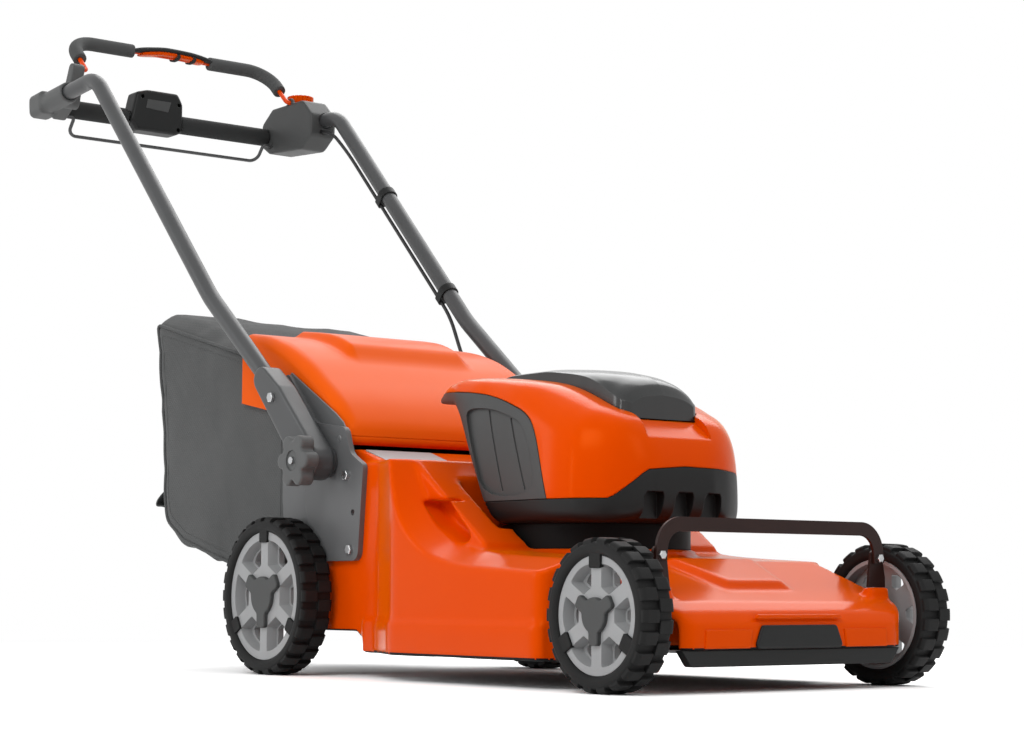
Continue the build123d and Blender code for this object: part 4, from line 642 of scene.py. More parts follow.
def resample(points: list[Vector], step: float) -> list[Vector]:
    """Points at an even step along a closed polygon.

    Args:
        points: the polygon's corners.
        step: the wanted distance between points.

    Returns:
        The evenly spaced points.
    """
    spread = []
    for a, b in zip(points, points[1:] + points[:1]):
        count = max(1, round((b - a).length / step))
        spread += [a.lerp(b, i / count) for i in range(count)]
    return spread


def smoothed(points: list[Vector], rounds: int) -> list[Vector]:
    """Round a closed polygon by moving each point towards its neighbours.

    Args:
        points: the polygon's points.
        rounds: how many times they are moved.

    Returns:
        The moved points.
    """
    for _ in range(rounds):
        points = [(points[i - 1] + 2 * p + points[(i + 1) % len(points)]) / 4 for i, p in enumerate(points)]
    return points


def circle(a: float, b: float, radius: float, step: int) -> Table:
    """The outline of a round hole or bar, with a point every so many degrees."""
    turns = [math.radians(angle) for angle in range(0, 360, step)]
    return [(a + radius * math.cos(turn), b + radius * math.sin(turn)) for turn in turns]


def mirrored(right: list[Vector]) -> list[Vector]:
    """The left half of a line across the mower, from the middle plane outwards."""
    return [Vector((p.x, -p.y, p.z)) for p in reversed(right)]


def mirrored_ring(x: float, side: Table) -> list[Vector]:
    """A rounded ring at x, from the distances and heights of one half of it, bottom to top."""
    right = chaikin([Vector((x, -y, z)) for y, z in side], rounds=3)
    return right + mirrored(right[1:-1])


def node_box(node: str) -> tuple[Vector, Vector]:
    """The low and the high corner of a CAD node, in millimetres."""
    low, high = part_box(node)
    return Vector(low) / MM, Vector(high) / MM


def plan_of(low: Vector, high: Vector, room: float) -> Table:
    """The plan of a box with some room all round."""
    left, right, near, far = low.x - room, high.x + room, low.y - room, high.y + room
    return [(left, near), (right, near), (right, far), (left, far)]


@contextmanager
def editing(mesh: bpy.types.Mesh) -> Iterator[bmesh.types.BMesh]:
    """Open a mesh for editing and write it back afterwards.

    Args:
        mesh: the mesh.

    Returns:
        A context that gives the open mesh.
    """
    work = bmesh.new()
    work.from_mesh(mesh)
    yield work
    work.to_mesh(mesh)
    work.free()


def new_piece(name: str, verts: list, faces: list[tuple]) -> Piece:
    """Make a piece from points and faces, with its normals outwards.

    Args:
        name: the piece's name.
        verts: the points, in metres.
        faces: the points' numbers, face by face.

    Returns:
        The new piece.
    """
    mesh = bpy.data.meshes.new(name)
    mesh.from_pydata([tuple(v) for v in verts], [], faces)
    with editing(mesh) as work:
        bmesh.ops.recalc_face_normals(work, faces=work.faces)
    return link(name, mesh)


def loft(name: str, rings: list[list[Vector]], capped: bool = True) -> Piece:
    """Join closed rings of equal length into a skin.

    Args:
        name: the piece's name.
        rings: the rings, in order, in millimetres.
        capped: whether the end rings are filled.

    Returns:
        The new piece.
    """
    count = len(rings[0])
    verts = [p * MM for ring in rings for p in ring]
    faces = []
    for i in range(len(rings) - 1):
        for j in range(count):
            k = (j + 1) % count
            faces.append((i * count + j, i * count + k, (i + 1) * count + k, (i + 1) * count + j))
    if capped:
        faces.append(tuple(range(count)))
        faces.append(tuple((len(rings) - 1) * count + j for j in range(count)))
    return new_piece(name, verts, faces)


class Facing(Enum):
    """The way in which a prism is drawn out: the places of x, y and z among outline and length."""

    SIDE = (0, 2, 1)
    PLAN = (0, 1, 2)
    FRONT = (2, 0, 1)

    def point(self, *place: float) -> Vector:
        """The point at a place of the outline, two numbers, and a length along the way, the third."""
        return Vector([place[i] for i in self.value])


def prism(
    name: str, outline: Table, low: float, high: float, facing: Facing = Facing.SIDE, rounds: int = 0
) -> Piece:
    """Draw an outline out into a solid.

    Args:
        name: the piece's name.
        outline: corners in millimetres.
        low: where the solid starts along the way.
        high: where it ends.
        facing: which way it is drawn: SIDE along y, PLAN along z, FRONT along x.
        rounds: how often the corners are cut to round them.

    Returns:
        The new piece.
    """
    flat = chaikin([Vector((a, b, 0)) for a, b in outline], rounds, closed=True)
    return loft(name, [[facing.point(p.x, p.y, length) for p in flat] for length in (low, high)])


class Cut(Enum):
    """What a boolean keeps."""

    REMOVE = "DIFFERENCE"
    KEEP = "INTERSECT"
    JOIN = "UNION"


def finished_mesh(piece: Piece) -> bpy.types.Mesh:
    """The mesh that a piece's curve or modifiers come to.

    Args:
        piece: the piece.

    Returns:
        A new mesh.
    """
    bpy.context.view_layer.update()
    graph = bpy.context.evaluated_depsgraph_get()
    return bpy.data.meshes.new_from_object(piece.evaluated_get(graph))


def apply_modifiers(piece: Piece) -> None:
    """Turn a piece's modifiers into mesh.

    Args:
        piece: the piece.
    """
    mesh = finished_mesh(piece)
    piece.modifiers.clear()
    piece.data = mesh


def cut(piece: Piece, cutter: Piece, keep: Cut = Cut.REMOVE) -> None:
    """Cut a piece with another, which is used up.

    Args:
        piece: the piece that changes.
        cutter: the solid that cuts it.
        keep: what stays.
    """
    modifier = piece.modifiers.new("cut", "BOOLEAN")
    modifier.operation = keep.value
    modifier.solver = "MANIFOLD"
    modifier.object = cutter
    apply_modifiers(piece)
    bpy.data.objects.remove(cutter)


def shade(piece: Piece, angle: float) -> None:
    """Shade a piece smooth, apart from its sharp edges.

    Args:
        piece: the piece.
        angle: edges that turn by more than this stay sharp, in degrees.
    """
    with editing(piece.data) as work:
        for face in work.faces:
            face.smooth = True
        for edge in work.edges:
            edge.smooth = not edge.is_manifold or edge.calc_face_angle(0.0) < math.radians(angle)
    weighted = piece.modifiers.new("even_normals", "WEIGHTED_NORMAL")
    weighted.keep_sharp = True


def soften(piece: Piece, width_mm: float) -> None:
    """Round a piece's edges and shade it smooth.

    Args:
        piece: the piece.
        width_mm: the width of the rounding.
    """
    bevel = piece.modifiers.new("edges", "BEVEL")
    bevel.width = width_mm * MM
    bevel.segments = 3
    bevel.limit_method = "ANGLE"
    bevel.angle_limit = math.radians(CRISP_ANGLE)
    bevel.miter_outer = "MITER_ARC"
    bevel.use_clamp_overlap = True
    apply_modifiers(piece)
    shade(piece, CRISP_ANGLE)


def add_wall(piece: Piece, wall_mm: float, offset: float) -> None:
    """Give a skin its thickness.

    Args:
        piece: the skin.
        wall_mm: its thickness.
        offset: -1 to thicken it against its normals, 1 to thicken it along them.
    """
    wall = piece.modifiers.new("wall", "SOLIDIFY")
    wall.thickness = wall_mm * MM
    wall.offset = offset
    apply_modifiers(piece)


def mirror_join(piece: Piece) -> None:
    """Add a piece's mirror image across the mower's middle plane.

    Args:
        piece: the piece on one side.
    """
    with editing(piece.data) as work:
        copied = bmesh.ops.duplicate(work, geom=work.verts[:] + work.edges[:] + work.faces[:])["geom"]
        for item in copied:
            if isinstance(item, bmesh.types.BMVert):
                item.co.y = -item.co.y
        faces = [item for item in copied if isinstance(item, bmesh.types.BMFace)]
        bmesh.ops.reverse_faces(work, faces=faces)


def dress(mesh: bpy.types.Mesh, finish: Finish) -> None:
    """Give a mesh its one finish."""
    mesh.materials.clear()
    mesh.materials.append(finish.material())


def stand_for(piece: Piece, finish: Finish, node: str) -> None:
    """Put a piece in the place of a CAD node.

    Args:
        piece: the finished piece, where it belongs.
        finish: its finish.
        node: the node that it stands for, and on whose body it rides.
    """
    dress(piece.data, finish)
    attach(piece, NODE_BODY[node])
    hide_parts(node)
    LOG.info("built %s", piece.name)


def carry(piece: Piece, finish: Finish, node: str) -> None:
    """Fit an added piece to the body of a CAD node.

    Args:
        piece: the finished piece, where it belongs.
        finish: its finish.
        node: the node on whose body it rides.
    """
    dress(piece.data, finish)
    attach(piece, NODE_BODY[node])
    LOG.info("added %s", piece.name)


def rounded_node(node: str, finish: Finish, voxel_mm: float, rounds: int) -> Piece:
    """Stand a copy of a CAD node with moulded, rounded edges in its place.

    Args:
        node: the node's name.
        finish: the copy's finish.
        voxel_mm: the cell in which the copy is remade, in millimetres.
        rounds: how many times its surface is evened out.

    Returns:
        The copy.
    """
    mesh = frame["nodes"][node].data.copy()
    mesh.name = f"{node}_moulded"
    with editing(mesh) as work:
        bmesh.ops.remove_doubles(work, verts=work.verts, dist=1e-6)
    piece = link(f"{node}_moulded", mesh)
    cells = piece.modifiers.new("cells", "REMESH")
    cells.mode = "VOXEL"
    cells.voxel_size = voxel_mm * MM
    even = piece.modifiers.new("even", "SMOOTH")
    even.factor = 0.5
    even.iterations = rounds
    apply_modifiers(piece)
    for face in piece.data.polygons:
        face.use_smooth = True
    stand_for(piece, finish, node)
    return piece


def welt(name: str, path: list[Vector], radius: float) -> Piece:
    """A round welt along a closed path.

    Args:
        name: the piece's name.
        path: points in millimetres.
        radius: the welt's radius.

    Returns:
        The welt as a mesh.
    """
    data = bpy.data.curves.new(name, "CURVE")
    data.dimensions = "3D"
    spline = data.splines.new("POLY")
    spline.points.add(len(path) - 1)
    for point, place in zip(spline.points, path):
        point.co = (*(place * MM), 1.0)
    spline.use_cyclic_u = True
    data.bevel_depth = radius * MM
    data.bevel_resolution = 3
    shape = link(name, data)
    mesh = finished_mesh(shape)
    bpy.data.objects.remove(shape)
    piece = link(name, mesh)
    shade(piece, SOFT_ANGLE)
    return piece


@dataclass
class BatteryLid:
    """The battery lid: an upright band below a creased, polished dome."""

    rear_x: float = 262.0
    front_x: float = 551.0
    half: float = 66.0
    steps: int = 60
    flat: float = 0.9
    lean: float = 1.0
    lip_in: float = 2.0
    lip_up: float = 0.5
    crown: float = 1.0
    battery_room: float = 6.0
    edge: float = 1.5
    top: Table = table(
        (262, 396), (285, 408), (310, 414), (380, 414), (430, 410), (490, 402), (525, 393), (542, 384),
        (551, 368),
    )
    crease: Table = table(
        (262, 393), (285, 403), (310, 408), (380, 408), (430, 403), (470, 396), (500, 385), (525, 370),
        (551, 357),
    )
    under: Table = table(
        (262, 386), (285, 392), (310, 396), (363, 393), (442, 381), (475, 370), (500, 360), (525, 348),
        (551, 338),
    )
    width: Table = table(
        (262, 52), (290, 60), (360, 65), (470, 66), (530, 66), (541, 64), (548, 59), (551, 53)
    )
    # Shares of the half width and of the dome's rise
    dome: Table = table((0.84, 0.42), (0.6, 0.8), (0.3, 0.98))

    def section(self, x: float) -> list[Vector]:
        """The lid's ring across the mower.

        Args:
            x: the ring's place along the mower.

        Returns:
            The whole ring.
        """
        high, fold, low, half = (value_at(t, x) for t in (self.top, self.crease, self.under, self.width))
        lean = half - self.lean
        band = [(0.0, low), (half * self.flat, low), (half, low), (half, low), (lean, fold), (lean, fold)]
        lip = (half - self.lip_in, fold + self.lip_up)
        dome = [(half * wide, fold + rise * (high - fold)) for wide, rise in self.dome]
        return mirrored_ring(x, [*band, lip, *dome, (0.0, high + self.crown)])

    def build(self) -> None:
        """Lay the lid over its rings and hollow it for the battery."""
        run = self.front_x - self.rear_x
        places = [self.rear_x + run * share for share in end_spaced(self.steps)]
        lid = loft("battery_lid_form", [self.section(x) for x in places])
        low, high = node_box("battery_pack")
        room = self.battery_room
        cut(lid, prism("lid_hollow", plan_of(low, high, room), low.z, high.z + room, Facing.PLAN))
        soften(lid, self.edge)
        stand_for(lid, GLOSS_ABS, "battery_lid")


@dataclass
class PowerHead:
    """The motor's housing: base, hood and vent panels, cut from one rounded form, and the battery lid."""

    lid: BatteryLid = field(default_factory=BatteryLid)
    tail_x: float = 218.0
    front_x: float = 594.0
    steps: int = 84
    evenness: float = 0.45
    least_tall: float = 4.0
    shut: float = 0.8
    # Every cutter reaches this far to either side, clear of the form
    clear: float = 200.0
    seam_run: Span = (150.0, 660.0)
    seam_low: float = 150.0
    seam_z: float = 234.0
    step_run: Span = (500.0, 650.0)
    notch_rows: Row = (-50.0, 0.0, 50.0)
    notch_back: float = 16.0
    notch_ahead: float = 20.0
    well_rear_x: float = 250.0
    well_floor: float = 330.0
    well_high: float = 430.0
    well_corner: Span = (10.0, 12.0)
    shaft_lap: float = 6.0
    recess_half: float = 54.0
    foot_z: float = 200.0
    hole_inner: float = 60.0
    hole_grow: float = 0.5
    vent_inner: float = 70.0
    vent_grow: float = -0.4
    vent_proud: float = 0.6
    vent_wall: float = 9.0
    panel_sunk: float = 4.0
    groove_sunk: float = 5.6
    groove_wide: float = 3.0
    groove_z: float = 247.0
    base_edge: float = 1.6
    hood_edge: float = 3.0
    vent_edge: float = 1.4
    top: Table = table(
        (218, 386), (236, 396), (262, 401), (300, 403), (363, 399), (410, 393), (442, 387), (475, 377),
        (500, 367), (525, 356), (549, 346), (570, 334), (584, 312), (591, 288), (594, 262),
    )
    bottom: Table = table(
        (218, 374), (280, 366), (296, 352), (320, 312), (345, 262), (364, 222), (378, 207), (388, 204),
        (560, 204), (580, 210), (590, 224), (594, 244),
    )
    width: Table = table(
        (218, 112), (250, 126), (300, 142), (345, 150), (480, 150), (530, 142), (565, 117), (585, 83),
        (594, 46),
    )
    squareness: Table = table((218, 1.0), (400, 1.0), (500, 0.3), (594, 0.3))
    # Shares of the half width and of the height, each followed by what squareness adds to it
    profile: Table = table(
        (0.0, 0.0, 0.0, 0.0), (0.72, 0.0, 0.0, 0.0), (0.93, 0.0, 0.0, 0.0), (1.0, 0.0, 0.10, 0.0),
        (1.0, 0.0, 0.34, 0.08), (0.965, 0.02, 0.62, 0.08), (0.88, 0.065, 0.82, 0.055),
        (0.74, 0.13, 0.95, 0.022), (0.56, 0.16, 1.0, 0.0), (0.42, 0.0, 1.0, 0.0), (0.0, 0.0, 1.004, 0.0),
    )
    step: Table = table(
        (-112, 160), (-112, 233), (-104, 237), (-68, 265), (-58, 271), (0, 276), (60, 275), (108, 272),
        (118, 266), (140, 238), (140, 160),
    )
    notch: Table = table((-16, 208), (-16, 236), (-11, 243), (12, 243), (15, 238), (15, 208))
    recess: Table = table((543, 420), (543, 343), (586, 311), (612, 311), (612, 420))
    panel: Table = table(
        (322, 358), (372, 357), (420, 343), (442, 332), (460, 302), (480, 240), (362, 240), (342, 300),
        (328, 335),
    )
    # The x of a groove's lower end, then the x and z of its upper end
    grooves: Table = table((401, 366, 354), (448, 413, 341))

    def form(self, name: str, inset: float) -> Piece:
        """The housing's whole outer form.

        Args:
            name: the piece's name.
            inset: how far it is drawn in, in millimetres.

        Returns:
            The closed form.
        """
        rings = []
        run = self.front_x - self.tail_x - 2 * inset
        for share in end_spaced(self.steps, self.evenness):
            x = self.tail_x + inset + run * share
            low = value_at(self.bottom, x) + inset
            tall = value_at(self.top, x) - inset - low
            half = value_at(self.width, x) - inset
            square = value_at(self.squareness, x)
            side = [
                (half * (wide + wider * square), low + tall * (high + higher * square))
                for wide, wider, high, higher in self.profile
            ]
            if tall >= self.least_tall:
                rings.append(mirrored_ring(x, side))
        return loft(name, rings)

    def under_seam(self, rise: float) -> Piece:
        """All that lies under the seam between the base and the hood, which steps up across the front.

        Args:
            rise: how far the seam is lifted, in millimetres.

        Returns:
            The solid under the seam.
        """
        rear, front = self.seam_run
        seam = self.seam_z + rise
        block = [(rear, self.seam_low), (rear, seam), (front, seam), (front, self.seam_low)]
        under = prism("seam", block, -self.clear, self.clear)
        step = [(y, z + rise) for y, z in self.step]
        cut(under, prism("front_step", step, *self.step_run, Facing.FRONT), Cut.JOIN)
        return under

    def battery_shaft(self) -> Piece:
        """The open shaft in which the battery stands on its tray.

        Returns:
            The solid that the shaft takes up.
        """
        low, high = node_box("battery_tray")
        outline = plan_of(low, high, self.shut)
        return prism(
            "battery_well", outline, low.z - self.shut, self.well_floor + self.shaft_lap, Facing.PLAN
        )

    def lid_well(self) -> Piece:
        """The opening for the lid in the hood's top.

        Returns:
            The solid that the opening takes up.
        """
        edge = self.lid.half + self.shut
        rear, front = self.well_rear_x, self.lid.front_x + self.shut
        start, inner = self.lid.front_x - self.well_corner[0], edge - self.well_corner[1]
        outline = [
            (rear, -edge), (start, -edge), (front, -inner), (front, inner), (start, edge), (rear, edge)
        ]
        return prism("lid_well", outline, self.well_floor, self.well_high, Facing.PLAN)

    def vent_outline(self, grow: float) -> Table:
        """The side view of a vent's frame with its lip.

        Args:
            grow: how far it is grown all round, in millimetres.

        Returns:
            The outline in x and z.
        """
        return [
            (206, 371 - grow), (196, 382), (206, 388 + grow), (287, 384 + grow), (347, 378 + grow),
            (382, 370 + grow), (411 + grow, 361 + grow), (449 + grow, 345 + grow), (469 + grow, 320),
            (484 + grow, 281), (506 + grow, self.foot_z), (350 - grow, self.foot_z), (336 - grow, 276),
            (311 - grow, 322), (292 - grow, 350), (276, 360 - grow),
        ]

    def build(self) -> None:
        """Cut the form into its pieces, add the lid and put them in place."""
        self.build_base()
        self.build_hood()
        self.build_vents()
        self.lid.build()

    def build_base(self) -> None:
        """The black base with the three notches in its front."""
        base = self.form("base_cover_form", 0.0)
        cut(base, self.under_seam(-self.shut), Cut.KEEP)
        low, high = self.front_x - self.notch_back, self.front_x + self.notch_ahead
        for row in self.notch_rows:
            cut(base, prism("notch", [(row + y, z) for y, z in self.notch], low, high, Facing.FRONT))
        cut(base, self.battery_shaft())
        soften(base, self.base_edge)
        stand_for(base, BLACK_ABS, "base_cover")

    def build_hood(self) -> None:
        """The orange hood with openings for the lid and the vents."""
        hood = self.form("hood_form", 0.0)
        cut(hood, self.under_seam(0.0))
        for side in SIDES.values():
            ends = sorted((side * self.hole_inner, side * self.clear))
            cut(hood, prism("vent_hole", self.vent_outline(self.hole_grow), *ends, rounds=2))
        cut(hood, self.lid_well())
        cut(hood, prism("finger_recess", self.recess, -self.recess_half, self.recess_half))
        cut(hood, self.battery_shaft())
        soften(hood, self.hood_edge)
        stand_for(hood, ORANGE_ABS, "hood")

    def build_vents(self) -> None:
        """The grey vent frames, each with its sunk, ribbed panel."""
        vent = self.form("side_vents_form", -self.vent_proud)
        outline = self.vent_outline(self.vent_grow)
        cut(vent, prism("vent_block", outline, -self.clear, -self.vent_inner, rounds=2), Cut.KEEP)
        cut(vent, self.form("vent_core", self.vent_wall))
        cut(vent, self.under_seam(0.0))
        sunk = prism("sunk", self.panel, -self.clear, -self.hole_inner, rounds=2)
        cut(sunk, self.form("panel_skin", self.panel_sunk))
        cut(vent, sunk)
        for low_x, high_x, high_z in self.grooves:
            lower = [(low_x, self.groove_z), (low_x + self.groove_wide, self.groove_z)]
            upper = [(high_x + self.groove_wide, high_z), (high_x, high_z)]
            groove = prism("groove", lower + upper, -self.clear, -self.hole_inner)
            cut(groove, self.form("groove_floor", self.groove_sunk))
            cut(vent, groove)
        mirror_join(vent)
        soften(vent, self.vent_edge)
        stand_for(vent, GREY_ABS, "side_vents")


@dataclass
class RearFlap:
    """The discharge flap: a thin moulded shell with rounded shoulders and a raised ridge."""

    rear_x: float = -165.0
    front_x: float = 125.5
    steps: int = 72
    half: float = 203.0
    shoulder: float = 22.0
    shoulder_share: float = 0.8
    bend_steps: int = 8
    wall: float = 3.4
    crisp: float = 40.0
    ridge_half: float = 104.0
    ridge_flank: float = 20.0
    pin_x: float = 118.0
    pin_z: float = 327.0
    knuckle: float = 8.0
    bore: float = 4.4
    side_rows: Row = (0.0, 0.25, 0.5, 0.75)
    flat_rows: Row = (172.0, 164.0, 156.0, 148.0, 140.0, 132.0, 126.0, 120.0)
    ridge_rows: Row = (84.0, 62.0, 40.0, 20.0, 0.0)
    top: Table = table(
        (-165, 500), (-110, 491), (-61, 477), (-14, 455), (42, 418), (86, 385), (110, 360), (121, 344),
        (125.5, 331),
    )
    hem: Table = table((-165, 394), (-51, 371), (40, 348), (96, 332), (118, 325), (125.5, 325))
    ridge: Table = table((-165, 10), (-110, 12), (-60, 15), (-34, 15), (-12, 2), (-2, 0), (125.5, 0))

    def section(self, x: float) -> list[Vector]:
        """The shell's outer line across the mower, from right to left.

        Args:
            x: the line's place along the mower.

        Returns:
            The line's points.
        """
        top, hem, ridge = (value_at(t, x) for t in (self.top, self.hem, self.ridge))
        bend = min(self.shoulder, self.shoulder_share * (top - hem))
        shares = [step / self.bend_steps for step in range(self.bend_steps + 1)]
        line = [(self.half, hem + (top - bend - hem) * share) for share in self.side_rows]
        for share in shares:
            turn = math.radians(90 * share)
            line.append((self.half - bend + bend * math.cos(turn), top - bend + bend * math.sin(turn)))
        line += [(y, top) for y in self.flat_rows]
        for share in shares:
            line.append((self.ridge_half + self.ridge_flank * (0.5 - share), top + ridge * eased(share)))
        line += [(y, top + ridge) for y in self.ridge_rows]
        right = [Vector((x, -y, z)) for y, z in line]
        return right + mirrored(right[:-1])

    def build(self) -> None:
        """Lay the shell over its sections, give it its wall and add the hinge's barrel."""
        run = self.front_x - self.rear_x
        shares = [math.sin(0.5 * math.pi * i / self.steps) for i in range(self.steps + 1)]
        rows = [self.section(self.rear_x + run * share) for share in shares]
        count = len(rows[0])
        faces = [
            (i * count + j, i * count + j + 1, (i + 1) * count + j + 1, (i + 1) * count + j)
            for i in range(self.steps)
            for j in range(count - 1)
        ]
        flap = new_piece("rear_flap_shell", [p * MM for row in rows for p in row], faces)
        add_wall(flap, self.wall, -1.0 if flap.data.polygons[0].normal.y < 0 else 1.0)
        shade(flap, self.crisp)
        # The flap's finish is painted a paler orange, as painted light from above
        stand_for(flap, SATIN_ORANGE_PAINTED_LIGHT, "rear_flap")
        self.build_barrel()

    def build_barrel(self) -> None:
        """The hollow barrel that turns on the hinge rod."""
        across = self.half - self.wall
        ends = (
            (-across, self.bore), (-across, self.knuckle), (across, self.knuckle), (across, self.bore),
            (-across, self.bore),
        )
        rings = [
            [Vector((x, y, z)) for x, z in circle(self.pin_x, self.pin_z, radius, step=15)]
            for y, radius in ends
        ]
        barrel = loft("flap_hinge_barrel", rings, capped=False)
        shade(barrel, self.crisp)
        carry(barrel, SATIN_ORANGE_PAINTED_LIGHT, "rear_flap")


@dataclass
class GrassBag:
    """The fabric collector: a slack lofted bag with a raised top, folds in its walls and an open mouth."""

    half: float = 195.0
    seam: float = 15.0
    reach: float = 170.0
    rows: int = 44
    spacing: float = 7.0
    cloth: float = 1.4
    crisp: float = 80.0
    middle: Triple = (-230.0, 0.0, 330.0)
    mouth_x: float = -52.0
    mouth_half: float = 176.0
    mouth: Span = (168.0, 426.0)
    top_front: Span = (-165.0, 468.0)
    top_rear: Span = (-448.0, 543.0)
    # The cloth is held by its frame as far back as this, and is fully slack one run further
    hold: float = 12.0
    slack_run: float = 250.0
    slack: float = 8.0
    push_gain: float = 3.0
    side_from: float = 0.9
    wall_to: float = 0.97
    side_bulge: float = 2.5
    wall_bulge: float = 1.2
    top_band: float = 26.0
    dome: float = 15.0
    dome_edge: float = 0.16
    dome_gain: float = 1.6
    valley: float = 3.0
    valley_at: float = 0.93
    valley_wide: float = 0.05
    rear_x: float = -380.0
    rear_run: float = 50.0
    hollow: float = 9.0
    hollow_z: float = 250.0
    hollow_tall: float = 290.0
    # How fast the sag, the folds and the crumples change along x, y and z, and their shift along x
    waves: Table = table((0.007, 0.006, 0.008, 0.0), (0.016, 0.008, 0.006, 9.0), (0.022, 0.02, 0.02, 3.0))
    fold_sharp: float = 2.2
    # What the sag, the folds and the crumples each add to the slack
    push_mix: Triple = (0.9, 0.45, 0.25)
    loop_y: float = 176.0
    loop_half: float = 15.0
    loop_thick: float = 1.3
    # The side walls' inner rings, as shares of the side view
    shrinks: Row = (0.03, 0.12, 0.22, 0.33, 0.44, 0.55, 0.66, 0.76, 0.85)
    # Name, share of the side view, distance inside the side wall, radius
    welts: tuple[tuple, ...] = (("seam", 0.985, 3.0, 2.6), ("stitch", 0.9, 0.0, 0.7))
    outline: Table = table(
        (-46, 152), (-46, 444), (-165, 468), (-448, 543), (-436, 470), (-417, 330), (-414, 262),
        (-404, 224), (-350, 192), (-203, 154),
    )
    loop: Table = table((-404, 276), (-424, 270), (-444, 258), (-446, 250), (-428, 250), (-406, 246))
    view: list[Vector] = field(init=False)

    def __post_init__(self) -> None:
        """Work out the rounded side view, with close points."""
        corners = [Vector((x, 0.0, z)) for x, z in self.outline]
        self.view = smoothed(resample(corners, self.spacing), rounds=3)

    @staticmethod
    def ripple(point: Vector, wave: Row) -> float:
        """Smooth noise at a point, with the wave's pace along each axis and its shift along x."""
        x, y, z, shift = wave
        return noise.noise(Vector((point.x * x + shift, point.y * y, point.z * z)))

    def push(self, point: Vector, back: float) -> float:
        """How far folds push the cloth off the stretched bag.

        Args:
            point: a point of the stretched bag, in millimetres.
            back: how slack the cloth is there, from 0 to 1.

        Returns:
            The distance, outwards, in millimetres.
        """
        sag, crease, crumple = (self.ripple(point, wave) for wave in self.waves)
        fold = max(0.0, 1.0 - abs(crease) * self.fold_sharp)
        parts = zip(self.push_mix, (sag, fold, crumple))
        return min(1.0, back * self.push_gain) * self.slack * sum(share * part for share, part in parts)

    def lift(self, point: Vector, back: float, wide: float) -> float:
        """How far the top is raised into its dome, or lowered into the valley along its edge.

        Args:
            point: a point of the stretched bag, in millimetres.
            back: how slack the cloth is there, from 0 to 1.
            wide: its distance from the middle plane, as a share of the half width.

        Returns:
            The distance upwards, in millimetres.
        """
        (front_x, front_z), (rear_x, rear_z) = self.top_front, self.top_rear
        line = front_z + (front_x - point.x) * ((rear_z - front_z) / (front_x - rear_x))
        near_top = max(0.0, 1.0 - abs(point.z - line) / self.top_band)
        crown = eased(clamp((1.0 - wide) / self.dome_edge))
        valley = math.exp(-(((wide - self.valley_at) / self.valley_wide) ** 2))
        return near_top * min(1.0, self.dome_gain * back) * (self.dome * crown - self.valley * valley)

    def slackened(self, point: Vector) -> Vector:
        """Where a point of the stretched bag hangs once the cloth is slack.

        Args:
            point: a point of the stretched bag, in millimetres.

        Returns:
            The point with the top's dome, the folds and the drawn-in rear wall.
        """
        back = clamp((self.top_front[0] - self.hold - point.x) / self.slack_run)
        if back == 0.0:
            return point
        wide = abs(point.y) / self.half
        moved = point.copy()
        moved.z += self.lift(point, back, wide)
        push = self.push(point, back)
        if wide > self.side_from:
            moved.y += math.copysign(min(push, self.side_bulge), point.y)
        away = point - Vector(self.middle)
        away.y = 0.0
        if wide <= self.wall_to and away.length > 1.0:
            moved += away.normalized() * push * self.wall_bulge
        drawn = math.sin(math.pi * clamp((point.z - self.hollow_z) / self.hollow_tall))
        rear = clamp((self.rear_x - point.x) / self.rear_run)
        moved.x += rear * drawn * self.hollow * (1.0 - wide * wide)
        return moved

    def ring(self, share: float, y: float) -> list[Vector]:
        """The slack cloth along a copy of the side view at y, scaled to a share of it."""
        middle = Vector(self.middle)
        return [self.slackened(middle + (p - middle) * share + Vector((0, y, 0))) for p in self.view]

    def build(self) -> None:
        """Loft the cloth from side to side, then add the seams, the stitch lines and the loops."""
        near = [(share, self.half) for share in self.shrinks]
        for turn in (math.radians(angle) for angle in range(90, 0, -18)):
            share = 1.0 - self.seam * (1 - math.cos(turn)) / self.reach
            near.append((share, self.half - self.seam + self.seam * math.sin(turn)))
        run = [(1.0, (self.half - self.seam) * (1 - 2 * i / self.rows)) for i in range(self.rows + 1)]
        far = [(share, -y) for share, y in reversed(near)]
        bag = loft("grass_bag_cloth", [self.ring(share, -y) for share, y in near + run + far])
        self.open_mouth(bag)
        add_wall(bag, self.cloth, -1.0)
        shade(bag, self.crisp)
        stand_for(bag, BAG_CLOTH, "grass_bag")
        for name, side in SIDES.items():
            for part, share, inside, radius in self.welts:
                path = self.ring(share, side * (self.half - inside))
                carry(welt(f"bag_{part}_{name}", path, radius), BAG_CLOTH, "grass_bag")
            self.build_loop(side, name)

    def open_mouth(self, bag: Piece) -> None:
        """Open the bag's front inside its frame.

        Args:
            bag: the closed cloth.
        """
        low, high = self.mouth
        with editing(bag.data) as work:
            gone = []
            for face in work.faces:
                place = face.calc_center_median() / MM
                if place.x > self.mouth_x and abs(place.y) < self.mouth_half and low < place.z < high:
                    gone.append(face)
            bmesh.ops.delete(work, geom=gone, context="FACES")

    def build_loop(self, side: int, name: str) -> None:
        """A short loop of tape at a lower rear corner, to empty the bag by.

        Args:
            side: -1 for the right of the mower, 1 for the left.
            name: the side's name.
        """
        path = chaikin([Vector((x, side * self.loop_y, z)) for x, z in self.loop], rounds=3)
        wide = Vector((0, self.loop_half, 0))
        rings = []
        for i, p in enumerate(path):
            ahead = (path[min(i + 1, len(path) - 1)] - path[max(i - 1, 0)]).normalized()
            across = Vector((-ahead.z, 0, ahead.x)) * self.loop_thick
            rings.append([p - across - wide, p + across - wide, p + across + wide, p - across + wide])
        loop = loft(f"bag_loop_{name}", rings)
        shade(loop, SOFT_ANGLE)
        carry(loop, SEAM_TAPE, "grass_bag")


